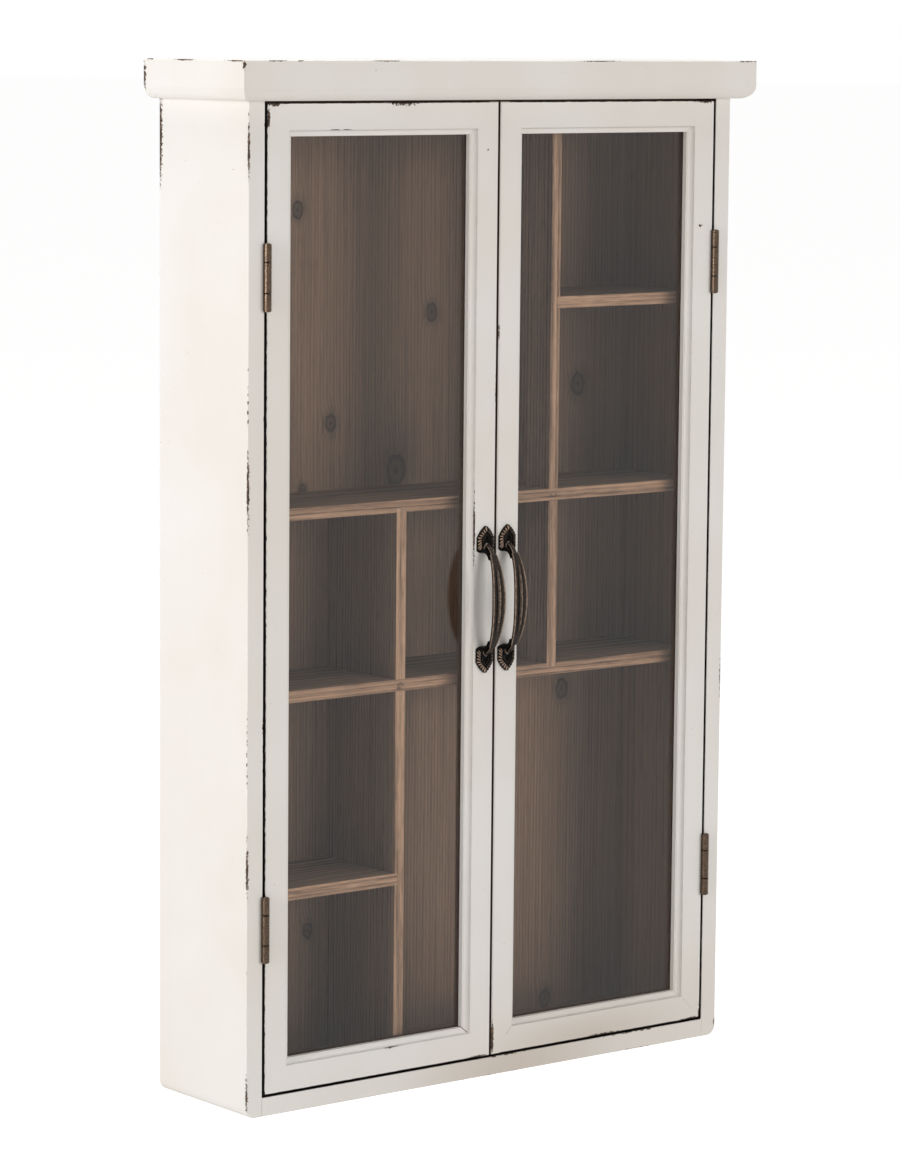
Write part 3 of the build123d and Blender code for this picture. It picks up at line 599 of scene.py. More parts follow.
@dataclass(frozen=True)
class Paint:
    """White paint over stained wood, rubbed through along the edges. Sizes in millimetres.

    Rag is how far the paint's border strays. A door is stained within edge of its outline from
    skin behind the front on, and all through from back_from on. Its lip, which the gaps round it
    show, is painted shade that fades out from lip_start to lip_end, and its rubbed arris, arris
    deep, takes that painted shade too. The doors meet within centre of the middle, where the
    painted shade is the lighter meeting colour, and the mitre at mitre_spot is the one that has
    opened most.
    """

    body: Triple = tint(229, 226, 222)
    shade: Triple = tint(223, 218, 211)
    # The colour of a soft patch of painted shade.
    shade_patch_tint: Triple = tint(206, 197, 187)
    under: Triple = tint(50, 36, 27)
    pale: Triple = tint(134, 110, 90)
    # Painted shade in the gaps: near black round the doors, browner where they meet.
    gap: Triple = tint(16, 11, 8)
    meeting: Triple = tint(78, 60, 48)
    # The stain inside is darkened behind the front as painted shade.
    inside: Pine = Pine(painted_face_shade=0.62, edge=0.0)
    inside_heart: Triple = (0.3, 0.09, 0.0)
    roughness: float = 0.5
    gloss: float = 0.35
    rag: float = 1.2
    skin: float = 0.4
    edge: float = 0.2
    back_from: float = 12.5
    lip_start: float = 2.8
    lip_end: float = 4.5
    arris: float = 1.0
    centre: float = 10.0
    mitre_spot: Spot = Spot(-23, 3, 39, 1)

    def coat(self, g: Graph, place: Wire, shade_patch: Spot | None) -> Wire:
        """The paint's colour, with broad clouds, small specks and a soft patch of painted shade.

        Args:
            g: The material's graph.
            place: The point on the piece.
            shade_patch: A soft, slightly darker patch of painted shade.

        Returns:
            The colour.
        """
        colour = g.mix(g.ramp(g.noise(place, 7.0, 3.0), 0.3, 0.75), self.body, self.shade)
        # Painted shade: a soft darker patch.
        if shade_patch is not None:
            colour = g.mix(g.patch(place, shade_patch), colour, self.shade_patch_tint)
        specks = g.ramp(g.noise(place, 300.0, 1.0), 0.8, 0.84)
        return g.mix(specks * 0.45, colour, self.pale)

    def seams(self, g: Graph, place: Wire, lines: dict[str, Wire]) -> Wire:
        """The quirk and the mitres of a door frame.

        Args:
            g: The material's graph.
            place: The point on the piece.
            lines: What the frame's lines give.

        Returns:
            Their mask.
        """
        near = (place - self.mitre_spot.centre).length
        mitre = lines["Mitre"] * g.ramp(near, 20 * MM, 50 * MM, 0.75, 0.12)
        # A faint dark line along the quirk: painted shade in its groove, with some dirt.
        return g.largest(lines["Quirk"] * 0.12, mitre)

    def stained(
        self, g: Graph, place: Wire, bared: Bared | None, across: Wire | None
    ) -> tuple[Wire, Wire, Wire | Triple]:
        """Where a piece is stained and not painted.

        A board is stained past its level, behind the paint's ragged border. A door is stained on
        its outer edges and its back. The lip at the front of a stained part gets painted shade for
        the gaps, and so does a door's rubbed arris.

        Args:
            g: The material's graph.
            place: The point on the piece.
            bared: The stained part of a board, or None on a door.
            across: On a door, the distance from its nearest outer edge.

        Returns:
            The masks of the stain and of the lip with painted shade, and that shade's colour.
        """
        parts = g.parts(place)
        x, y, _ = parts
        ragged = g.noise(place, 150.0, 3.0) * (self.rag * MM)
        if bared is not None:
            past = parts[bared.axis] * float(bared.sign) > bared.start * bared.sign
            inside = past * (y - ragged > bared.depth)
            # Painted shade: near black on the front lip that the gaps show.
            fade = g.ramp(y, FRONT + bared.lip, FRONT + bared.lip * 0.6)
            return inside, inside * fade, self.gap
        centre = abs(x) < self.centre * MM
        edge = (across < self.edge * MM) * (y > FRONT + self.skin * MM)
        inside = g.largest(edge, y - ragged > FRONT + self.back_from * MM)
        # Painted shade: a door's outer edges near the front and its rubbed arris, near black,
        # lighter where the doors meet.
        arris = across < ragged - centre * (self.centre * MM)
        lip = edge * g.ramp(y, FRONT + self.lip_end * MM, FRONT + self.lip_start * MM)
        lip = g.largest(lip, arris * (y < FRONT + self.arris * MM))
        return inside, lip, g.mix(centre, self.gap, self.meeting)

    def material(
        self,
        name: str,
        box: tuple[Triple, Triple],
        *,
        reach: float,
        amount: float,
        chips: tuple[Spot, ...] = (),
        along: Along = Along.Z,
        bared: Bared | None = None,
        door: bool = False,
        shade_patch: Spot | None = None,
    ) -> bpy.types.Material:
        """The paint on one piece.

        Args:
            name: The material's name.
            box: The piece's corners, or the whole door's for a part of its frame.
            reach: How far in from an edge the wear goes.
            amount: How much of the edges is worn.
            chips: Chips knocked out of it.
            along: The axis of the grain beneath.
            bared: Where the piece is stained and not painted.
            door: Whether the piece is part of a mitred door frame.
            shade_patch: A soft, slightly darker patch of painted shade.

        Returns:
            The material.
        """
        made, g = new_material(name)
        place = g.place()
        span = {"Low": box[0], "High": box[1]}
        rub = {"Reach": reach * MM, "Amount": amount}
        worn = g.group(edge_wear(), Position=place, **span, **rub)["Worn"]
        for spot in chips:
            size = {"Centre": spot.centre, "Size": spot.size}
            worn = g.group(chip(), Position=place, Before=worn, **size)["Worn"]
        colour = self.coat(g, place, shade_patch)
        across = None
        if door:
            lines = g.group(frame_lines(), Position=place, **span)
            colour = g.mix(self.seams(g, place, lines), colour, self.under)
            across = lines["Across"]
        bare = g.mix(g.ramp(g.noise(place, 500.0), 0.4, 0.75), self.under, self.pale)
        colour = g.mix(worn, colour, bare)
        peel, brush = g.noise(place, 650.0), g.streaks(place, 0.12, 420.0)
        height = peel * 0.05 + brush * 0.05 - worn
        if door or bared is not None:
            inside, lip, lip_colour = self.stained(g, place, bared, across)
            wood, grain = self.inside.colour(g, place, along, self.inside_heart)
            # The lip's painted shade goes over the stain.
            colour = g.mix(lip, g.mix(inside, colour, wood), lip_colour)
            height = height + grain * 0.3 * inside
        surface = {"Base Color": colour, "Roughness": worn * 0.3 + self.roughness}
        surface |= {"Normal": g.bump(height, 0.4 * MM, 0.8), "Specular IOR Level": self.gloss}
        g.end(g.shader(surface))
        return made


@dataclass(frozen=True)
class Metal:
    """A metal with tarnish.

    Where it has a groove colour, the mesh's relief attribute runs it from the grooves at 0 over
    the dull metal at a half to rubbed, bright places at 1; on the pulls' leaves the relief is also
    lowered on one half as painted shade. Joints are heights in millimetres where dirt darkens it.
    Scale is the tarnish's spots a metre.
    """

    bright: Triple
    dull: Triple
    metallic: float = 1.0
    shine: float = 0.3
    matt: float = 0.55
    scale: float = 220.0
    grit: float = 0.04 * MM
    groove: Triple | None = None
    joints: tuple[float, ...] = ()
    dirt: Triple = tint(20, 13, 9)

    def material(self, name: str) -> bpy.types.Material:
        """The metal.

        Args:
            name: The material's name.

        Returns:
            The material.
        """
        made, g = new_material(name)
        place = g.place()
        tarnish = g.group(patina(), Position=place, Scale=self.scale)
        dull = tarnish["Tarnish"]
        if self.groove is None:
            colour = g.mix(dull, self.bright, self.dull)
        else:
            relief = g.named("Attribute", attribute_name="relief", attribute_type="GEOMETRY")
            level = relief["Fac"] + (0.5 - dull) * 0.18
            colour = g.mix(g.ramp(level, 0.08, 0.5), self.groove, self.dull)
            colour = g.mix(g.ramp(level, 0.5, 0.95), colour, self.bright)
            dull = (1.0 - level).clamped()
        for joint in self.joints:
            off = abs(g.parts(place)[2] - joint * MM)
            colour = g.mix(g.ramp(off, 0.7 * MM, 0.3 * MM), colour, self.dirt)
        surface = {"Base Color": colour, "Metallic": self.metallic}
        surface["Roughness"] = g.ramp(dull, 0.0, 1.0, self.shine, self.matt)
        surface["Normal"] = g.bump(tarnish["Grit"], self.grit)
        g.end(g.shader(surface))
        return made


@dataclass(frozen=True)
class Glass:
    """Clear window glass, which lets the lamps' light through to the shelves."""

    clear: Triple = (0.97, 0.985, 0.975)
    passed: Triple = (0.93, 0.94, 0.93)
    index: float = 1.35

    def material(self, name: str) -> bpy.types.Material:
        """The pane: glass for the eye, clear for lamps and for light scattered by the wood.

        Args:
            name: The material's name.

        Returns:
            The material.
        """
        made, g = new_material(name)
        surface = {"Base Color": self.clear, "Roughness": 0.0, "IOR": self.index}
        glass = g.shader(surface | {"Transmission Weight": 1.0})
        clear = g.shader({"Color": self.passed}, "BsdfTransparent")
        path = g.named("LightPath")
        g.end(g.blend(g.largest(path["Is Shadow Ray"], path["Is Diffuse Ray"]), glass, clear))
        return made


@dataclass(frozen=True)
class Moulded:
    """Moulded plastic with a fine spark-eroded grain."""

    colour: Triple = tint(96, 74, 58)
    shade: Triple = tint(84, 64, 50)

    def material(self, name: str) -> bpy.types.Material:
        """The plastic.

        Args:
            name: The material's name.

        Returns:
            The material.
        """
        made, g = new_material(name)
        place = g.place()
        grain = g.noise(place, 2600.0)
        surface = {
            "Base Color": g.mix(g.ramp(g.noise(place, 60.0), 0.3, 0.7), self.colour, self.shade),
            "Roughness": g.ramp(grain, 0.3, 0.7, 0.42, 0.56),
            "Normal": g.bump(grain, 0.05 * MM, 0.5),
        }
        g.end(g.shader(surface))
        return made


def dress(node: str, material: bpy.types.Material) -> None:
    """Give a CAD node its finish.

    Args:
        node: The node's name.
        material: The finish, put into every slot that the node has.
    """
    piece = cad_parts[node]
    if not piece.material_slots:
        piece.data.materials.append(material)
    for place in piece.material_slots:
        place.material = material
    log.info("%s: %s", node, material.name)


def build_mesh(
    name: str, sheets: list[np.ndarray], closed: bool, relief: list[np.ndarray] | None = None
) -> bpy.types.Object:
    """A mesh of several grids of points, with a square between each four neighbours.

    Args:
        name: The object's name.
        sheets: Each grid, of shape rows, columns and three.
        closed: Whether their columns come round to the start.
        relief: How far each point stands out, from 0 to 1, for each grid.

    Returns:
        The new object, its doubles merged and its faces turned outwards.
    """
    points = np.concatenate([sheet.reshape(-1, 3) for sheet in sheets])
    faces, start = [], 0
    for sheet in sheets:
        rows, columns, _ = sheet.shape
        row = start + np.arange(rows - 1)[:, None] * columns
        step = np.arange(columns if closed else columns - 1)
        following = (step + 1) % columns
        around = (row + step, row + following, row + columns + following, row + columns + step)
        faces.append(np.stack([corner.ravel() for corner in around], axis=1))
        start += rows * columns
    mesh = bpy.data.meshes.new(name)
    mesh.from_pydata(points, [], np.concatenate(faces))
    if relief is not None:
        raised = np.concatenate([part.ravel() for part in relief]).astype(np.float32)
        mesh.attributes.new("relief", "FLOAT", "POINT").data.foreach_set("value", raised)
    shell = bmesh.new()
    shell.from_mesh(mesh)
    bmesh.ops.remove_doubles(shell, verts=shell.verts, dist=0.002 * MM)
    bmesh.ops.recalc_face_normals(shell, faces=shell.faces)
    shell.to_mesh(mesh)
    shell.free()
    mesh.polygons.foreach_set("use_smooth", np.ones(len(mesh.polygons), bool))
    mesh.set_sharp_from_angle(angle=radians(52))
    piece = bpy.data.objects.new(name, mesh)
    bpy.context.scene.collection.objects.link(piece)
    return piece


def bell(offset: np.ndarray, width: float = 1.0) -> np.ndarray:
    """The bell curve of an offset over a width: e to the power of minus its square."""
    return np.exp(-((offset / width) ** 2))


def share_of(value: np.ndarray, span: float = 1.0) -> np.ndarray:
    """A value over a span, kept from 0 to 1."""
    return np.clip(value / span, 0, 1)


@dataclass
class BowPull:
    """A cast bow pull with a fluted leaf at each end. Sizes in millimetres.

    Points are worked out as (across, out, up) from the middle of the pull on the door's face.
    Names that end in _in are distances in from the leaf's rim, and in _down, down from its tip.
    """

    side: Side
    length: float = 116.0
    half_width: float = 8.2
    shoulder: float = 9.0
    slant_swell: float = 0.75
    leaf: float = 19.6
    plate: float = 1.1
    swell: float = 3.0
    swell_down: float = 12.5
    middle: float = 10.4
    flute: float = 2.75
    flute_height: float = 0.9
    flute_in: float = 1.75
    ridge_in: float = 5.1
    ridge_height: float = 0.42
    hollow_down: float = 10.8
    hollow: float = 0.7
    root_down: float = 17.3
    root_radius: float = 3.0
    root_rim: float = 0.62
    dome: float = 1.0
    reach: float = 18.5
    foot: float = 43.6
    half_bow: float = 6.3
    half_foot: float = 2.2
    neck: float = 36.5
    half_neck: float = 1.75
    strap: float = 2.1
    spear: float = 28.0
    spear_height: float = 1.728

    def outline(self, share: np.ndarray) -> tuple[np.ndarray, np.ndarray, float]:
        """The leaf's rim: slants that swell a little from the tip to the shoulders, then straight.

        Args:
            share: How far round the rim, from 0 at the tip back to 1 at the tip.

        Returns:
            Points (across, down from the tip), the length along the rim to each, and its whole
            length.
        """
        turn = np.linspace(0, 1, 24)
        swell = self.slant_swell * np.sin(pi * turn)
        slant_x = self.half_width * turn + swell * 0.74
        slant_down = self.shoulder * turn - swell * 0.67
        x = np.concatenate([slant_x, [self.half_width, -self.half_width], -slant_x[::-1]])
        down = np.concatenate([slant_down, [self.leaf, self.leaf], slant_down[::-1]])
        run = np.concatenate([[0], np.cumsum(np.hypot(np.diff(x), np.diff(down)))])
        at = share * run[-1]
        return np.stack([np.interp(at, run, x), np.interp(at, run, down)], axis=-1), at, run[-1]

    def carving(
        self, x: np.ndarray, down: np.ndarray, in_from_rim: np.ndarray, at: np.ndarray
    ) -> np.ndarray:
        """How high the casting stands over its plate, at places on the leaf.

        Args:
            x: Across the leaf.
            down: How far down from its tip.
            in_from_rim: Distance in from the rim.
            at: Length along the rim from the tip, the shorter way round, to the nearest place.

        Returns:
            Slanted flutes along the rim, a ridge inside them, a hollow, and a horseshoe rim round
            the bow's root, each a bell or a half-round added to the others.
        """
        phase = 2 * pi * (at + 0.1 * in_from_rim**2) / self.flute
        flute = share_of(0.5 - 0.9 * np.cos(phase))
        band = np.clip(1 - ((in_from_rim - self.flute_in) / 2.0) ** 2, 0, None) ** 0.5
        height = self.flute_height * flute * band * share_of(self.leaf - 0.6 - down)
        ridge = bell(in_from_rim - self.ridge_in, 0.42) * share_of(self.leaf - 5.2 - down, 3.0)
        height += self.ridge_height * ridge
        height -= self.hollow * bell(np.hypot(x / 1.5, (down - self.hollow_down) / 1.6))
        away = np.hypot(x, np.minimum(down - self.root_down, 0))
        height = np.where(away < self.root_radius + 0.9, np.minimum(height, 0.05), height)
        return height + self.root_rim * bell(away - self.root_radius, 0.6)

    def leaf_sheet(self, up: int) -> tuple[np.ndarray, np.ndarray]:
        """One leaf as a closed skin: back, wall, carved face.

        The face is a low dome that swells towards the bow's root, with the carving on it.

        Args:
            up: 1 for the upper leaf, -1 for the lower one.

        Returns:
            A grid of points that runs from the back's middle over the rim to the face's middle,
            and how far each stands out, lowered on the half away from the key lamp as painted
            shade.
        """
        share = np.linspace(0, 1, 320, endpoint=False)
        rim, at, whole = self.outline(share)
        along = np.minimum(at, whole - at)
        middle = np.array([0.0, self.middle])
        grown = 1 + 0.02 * np.sin(pi * along / self.flute) ** 2
        carved = np.concatenate([np.linspace(1.0, 0.5, 40), np.linspace(0.48, 0.0, 26)])
        spots = middle + (rim - middle) * carved[:, None, None] * grown[:, None]
        x, down = spots[..., 0], spots[..., 1]
        slant = np.hypot(self.half_width, self.shoulder)
        to_slant = (down * self.half_width - np.abs(x) * self.shoulder) / slant + 0.6
        in_from_rim = np.maximum(np.minimum(to_slant, self.half_width - np.abs(x)), 0)
        raised = self.carving(x, down, in_from_rim, along * np.ones_like(x))
        rise = share_of(down - self.swell_down, self.leaf - self.swell_down) ** 1.5
        dome = self.dome * (1 - share_of(np.abs(x), self.half_width) ** 2)
        height = self.plate + dome + raised + self.swell * rise * bell(x, 4.6)
        height[0] = self.plate * 0.7
        flat = [middle + (rim - middle) * ray * grown[:, None] for ray in (0.0, 1.0)]
        backs = [np.stack([spot[:, 0], 0 * share, spot[:, 1]], axis=-1) for spot in flat]
        rows = np.concatenate([np.stack(backs), np.stack([x, height, down], axis=-1)])
        # Painted shade: the half of the leaf towards +X, away from the key lamp, is darker.
        rubbed = np.where(x * self.side.value < 0, 0.62, 1.0)
        relief = np.concatenate([np.zeros((2, share.size)), share_of(1.15 * raised) * rubbed])
        relief[2] = 0.0
        rows[..., 2] = up * (self.length / 2 - rows[..., 2])
        return rows, relief

    def half_across(self, up: np.ndarray) -> np.ndarray:
        """The strap's half width, widest in the middle."""
        half = self.half_bow - (self.half_bow - self.half_foot) * share_of(up, self.foot) ** 1.7
        return np.where(up > self.neck, self.half_neck, half)

    def strap_sheet(self) -> tuple[np.ndarray, np.ndarray]:
        """The grip: a thin strap over half an ellipse, from leaf to leaf.

        Its outer face has a bright arris down each side and, between two valleys, a spear-shaped
        ridge down the middle.

        Returns:
            A grid of points with closed ends, and how far each stands out.
        """
        turn = np.linspace(-pi / 2, pi / 2, 240)
        spine = np.stack([self.reach * np.cos(turn), self.foot * np.sin(turn)], axis=-1)
        spine[:, 0] += 0.6
        normal = np.stack([np.cos(turn) / self.reach, np.sin(turn) / self.foot], axis=-1)
        normal /= np.linalg.norm(normal, axis=1)[:, None]
        up = np.abs(spine[:, 1])[:, None]
        half = self.half_across(up)
        outer = np.linspace(-1, 1, 65)[None, :]
        inner = np.linspace(1, -1, 25)[None, 1:-1]
        spear = np.sqrt(share_of(1 - (up / self.spear) ** 2))
        width = 0.4 + 1.2 * spear
        across = half * outer
        crest = share_of(1 - np.abs(across) / width) ** 0.8 * spear
        sides = bell(np.abs(outer) - 0.9, 0.13)
        valley = bell(np.abs(across) - width - 0.4, 0.7) * spear
        thin = 0.5 * (up > self.neck)
        face = 0.35 * (1 - outer**2) + self.spear_height * crest + 0.3 * sides
        back = -self.strap * (1 - 0.25 * np.abs(inner) ** 6) + 0 * up
        out = np.concatenate([face - 0.45 * valley - thin, back], axis=1)
        x = np.concatenate([across, half * inner], axis=1)
        spread = spine[:, None] + out[..., None] * normal[:, None]
        points = np.concatenate([x[..., None], spread], axis=-1)
        relief = 0.46 + np.maximum(0.26 * crest, 0.32 * sides) - 0.3 * valley
        relief = np.concatenate([share_of(relief), 0 * back], axis=1)
        return self.capped(points, relief)

    def root_sheet(self, up: int) -> tuple[np.ndarray, np.ndarray]:
        """The flared root that carries the strap off one leaf.

        Its section is a rounded oblong that narrows, leans and draws in along a quarter round,
        from the leaf's square end to the strap's underside.

        Args:
            up: 1 for the upper leaf, -1 for the lower one.

        Returns:
            A grid of points with closed ends, and how far each stands out.
        """
        share = np.linspace(0, 1, 40)[:, None]
        angle = np.linspace(0, 2 * pi, 64, endpoint=False)[None, :]
        bend = 1 - np.sqrt(1 - share**2 * 0.97)
        foot_up = self.length / 2 - self.leaf + 1.3 - 8.6 * bend
        half = self.half_width - 0.35 - (self.half_width - 4.2) * (1 - (1 - share) ** 2.2)
        deep = 3.1 - 1.6 * share
        x, slide = (np.sign(way) * np.abs(way) ** 0.7 for way in (np.cos(angle), np.sin(angle)))
        slide = deep * np.where(slide > 0, 0.55 * slide, slide)
        lean = share * 0.9
        z = up * (foot_up + slide * np.cos(lean))
        out = 0.2 + 9.4 * share + slide * np.sin(lean)
        points = np.stack([half * x, out, z], axis=-1)
        return self.capped(points, np.zeros_like(z))

    @staticmethod
    def capped(points: np.ndarray, relief: np.ndarray) -> tuple[np.ndarray, np.ndarray]:
        """A tube of points with both ends closed to their middles.

        Args:
            points: The tube's grid, whose columns go round it.
            relief: How far each point stands out.

        Returns:
            Both grids, with one more row at each end.
        """
        columns = points.shape[1]
        first, last = (np.repeat(points[i].mean(0)[None, None], columns, axis=1) for i in (0, -1))
        blank = np.zeros((1, columns))
        return np.concatenate([first, points, last]), np.concatenate([blank, relief, blank])

    def build(self, metal: bpy.types.Material) -> None:
        """Make the pull, dress it and put it in place of the plain one.

        Args:
            metal: The pull's finish.
        """
        low, high = (Vector(corner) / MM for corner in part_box(f"handle_{self.side.word}"))
        parts = [self.leaf_sheet(1), self.leaf_sheet(-1), self.root_sheet(1), self.root_sheet(-1)]
        parts.append(self.strap_sheet())
        sheets = []
        for points, _ in parts:
            x = (low.x + high.x) / 2 - self.side.value * points[..., 0]
            y = high.y - np.clip(points[..., 1], 0.0, high.y - low.y)
            z = (low.z + high.z) / 2 + points[..., 2]
            sheets.append(np.stack([x, y, z], axis=-1) * MM)
        relief = [raised for _, raised in parts]
        piece = build_mesh(f"bow_pull_{self.side.word}", sheets, True, relief)
        piece.data.materials.append(metal)
        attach(piece, f"door_{self.side.word}")
        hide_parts(f"handle_{self.side.word}")
        log.info("%s: %d faces", piece.name, len(piece.data.polygons))


def corners(*nodes: str) -> tuple[Triple, Triple]:
    """The low and the high corner of the box round some CAD nodes."""
    boxes = np.array([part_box(node) for node in nodes])
    return tuple(boxes[:, 0].min(axis=0)), tuple(boxes[:, 1].max(axis=0))


@dataclass
class Carcass:
    """The painted case with its stained inside.

    Clear is how far behind a stained face's level the stain starts, in metres.
    """

    paint: Paint = Paint()
    pine: Pine = Pine()
    clear: float = 0.3 * MM

    def build(self) -> None:
        """Dress the sides, the bottom, the ceiling, the back and the cornice."""
        self.sides()
        self.ends()
        self.cornice()
        self.back()

    def painted(self, node: str, **looks: object) -> None:
        """Paint one board; looks are Paint.material's own arguments."""
        dress(node, self.paint.material(node, corners(node), **looks))

    def sides(self) -> None:
        """The sides: painted outside and on the front edge, stained inside."""
        for side in Side:
            board = f"side_panel_{side.word}"
            low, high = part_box(board)
            inner = high.x if side is Side.LEFT else low.x
            bared = Bared(axis=0, sign=-side.value, start=inner + side.value * self.clear)
            self.painted(board, reach=1.3, amount=0.4, chips=SIDE_CHIPS[side], bared=bared)

    def ends(self) -> None:
        """The bottom board, with its painted edge, and the stained ceiling."""
        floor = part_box("bottom_panel")[1].z
        bared = Bared(axis=2, sign=1, start=floor - self.clear, lip=13 * MM)
        # A soft patch of painted shade lies across the bottom board's middle.
        looks = {"along": Along.X, "bared": bared, "shade_patch": Spot(30, 0, 4, 90, 60, 40)}
        self.painted("bottom_panel", reach=1.1, amount=0.45, **looks)
        dress("top_panel", self.pine.material("ceiling", Along.X, (0.7, 0.1, 0.0)))

    def cornice(self) -> None:
        """The three moulding strips and the board that they go round, stained underneath."""
        under = Bared(axis=2, sign=-1, start=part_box("cap_board")[0].z + self.clear)
        for node, chips in CORNICE_CHIPS.items():
            looks = {"chips": chips, "bared": under if node == "cap_board" else None}
            self.painted(node, reach=1.5, amount=0.5, along=Along.X, **looks)

    def back(self) -> None:
        """The thin knotty board at the back."""
        colours = {"dark": tint(64, 49, 40), "light": tint(154, 121, 99)}
        pine = Pine(**colours, ring=3.1, wander=7.0, figure=0.82, stains_and_shade=BACK_STAINS_AND_SHADE)
        dress("back_panel", pine.material("back_board", Along.Z, (0.9, 0.3, 0.0), BACK_KNOTS))


@dataclass
class Shelving:
    """The thin stained boards that make the nine compartments."""

    # The shelves and dividers are darker behind their front edges: painted shade, with a heavier
    # stain on the faces.
    board: Pine = Pine(light=tint(190, 149, 121), painted_face_shade=0.48, figure=1.5)
    paler: Triple = tint(203, 160, 131)
    upright: Pine = Pine(light=tint(200, 159, 131), painted_face_shade=0.53, figure=1.4)

    def nail_marks(self) -> tuple[tuple[Spot, float], ...]:
        """The two dark marks where the middle shelf is nailed to the left divider.

        Returns:
            Each mark with its strength.
        """
        shelf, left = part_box("shelf_middle")[0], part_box("divider_left")[0].x / MM
        front, low = (shelf.y - FRONT) / MM, shelf.z / MM
        places = ((4.3, 5.7), (3.1, 2.6))
        marks = (Spot(left + x, front, low + z, 2.5, 3.0, 1.15) for x, z in places)
        return tuple((mark, 1.0) for mark in marks)

    def build(self) -> None:
        """Dress each board with its own piece of the tree."""
        paler = replace(self.board, light=self.paler)
        shelves = {
            "shelf_lower_left": (paler, 0.11),
            "shelf_middle": (replace(self.board, stains_and_shade=self.nail_marks()), 0.23),
            "shelf_upper": (self.board, 0.37),
            "shelf_upper_right": (paler, 0.52),
        }
        for node, (pine, offset) in shelves.items():
            heart = (-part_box(node)[0].z + 0.02, 0.13 + offset / 3, 0.0)
            dress(node, pine.material(node, Along.X, heart))
        for node, offset in {"divider_left": 0.05, "divider_right": 0.12}.items():
            heart = (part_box(node)[0].x + offset, 0.16, 0.0)
            dress(node, self.upright.material(node, Along.Z, heart))


@dataclass
class Door:
    """One glazed door with its frame, pane, beads and pull."""

    side: Side
    paint: Paint = Paint()
    glass: Glass = Glass()
    beads: Pine = Pine(tint(44, 31, 23), tint(84, 62, 48))
    bronze: Metal = Metal(
        tint(176, 150, 130),
        tint(54, 48, 44),
        metallic=0.9,
        shine=0.34,
        matt=0.5,
        scale=700.0,
        grit=0.06 * MM,
        groove=tint(9, 7, 5),
    )

    def build(self) -> None:
        """Dress the door's nodes and make its pull."""
        word = self.side.word
        parts = ("hinge_stile", "meeting_stile", "top_rail", "bottom_rail")
        nodes = [f"door_{word}_{part}" for part in parts]
        # The right door's bottom rail gets a soft patch of painted shade.
        looks = {"chips": DOOR_CHIPS[self.side], "shade_patch": DOOR_SHADE_PATCH[self.side], "door": True}
        box = corners(*nodes)
        paint = self.paint.material(f"door_{word}_paint", box, reach=0.9, amount=0.4, **looks)
        for node in nodes:
            dress(node, paint)
        dress(f"door_{word}_glass", self.glass.material(f"pane_{word}"))
        dress(f"door_{word}_beads", self.beads.material(f"beads_{word}", Along.Z))
        BowPull(self.side).build(self.bronze.material(f"bronze_{word}"))


@dataclass
class Fixings:
    """Hinges, screws, pins, nails, dowels, the catch and the hanging plates.

    Brass is dark where the knuckles meet.
    """

    brass: Metal = Metal(
        tint(112, 94, 79),
        tint(66, 54, 45),
        shine=0.2,
        matt=0.4,
        scale=1300.0,
        joints=(133.7, 156.9, 627.9, 651.1),
    )
    steel: Metal = Metal(tint(176, 174, 170), tint(154, 152, 149), matt=0.45, scale=300.0)
    iron: Metal = Metal(tint(70, 60, 52), tint(36, 29, 24), shine=0.5, matt=0.7, scale=900.0)
    plastic: Moulded = Moulded()
    beech: Pine = Pine(tint(168, 140, 108), tint(206, 182, 150))

    def build(self) -> None:
        """Dress them all."""
        brass = self.brass.material("antique_brass")
        steel = self.steel.material("bright_steel")
        leaves = ("hinge_leaves_carcass", "hinge_leaves_door", "hinge_pins")
        screws = ("hinge_screws_carcass", "hinge_screws_door")
        for side in Side:
            for name in (*leaves, *screws):
                dress(f"{name}_{side.word}", brass)
            for name in ("handle_screws", "strike_plate", "strike_screw"):
                dress(f"{name}_{side.word}", steel)
        plates = ("hanging_plates", "hanging_plate_screws", "cap_screws", "back_panel_pins")
        for name in ("catch_magnets", "catch_screws", *plates):
            dress(name, steel)
        dress("shelf_nails", self.iron.material("nail_heads"))
        dress("magnet_catch", self.plastic.material("catch_plastic"))
        dress("carcass_dowels", self.beech.material("beech", Along.X))


@dataclass(frozen=True)
class SoftBox:
    """A rectangular lamp that faces a target; mirrored says whether metal shows it."""

    name: str
    place: Triple
    target: Triple
    size: tuple[float, float]
    watts: float
    mirrored: bool

    def build(self) -> None:
        """Hang it in its place, turned to its target."""
        lamp = bpy.data.lights.new(self.name, "AREA")
        lamp.shape = "RECTANGLE"
        lamp.size, lamp.size_y = self.size
        lamp.energy = self.watts
        stand = bpy.data.objects.new(self.name, lamp)
        bpy.context.scene.collection.objects.link(stand)
        stand.location = self.place
        ahead = Vector(self.target) - Vector(self.place)
        stand.rotation_euler = ahead.to_track_quat("-Z", "Y").to_euler()
        stand.visible_camera = stand.visible_transmission = False
        stand.visible_glossy = self.mirrored


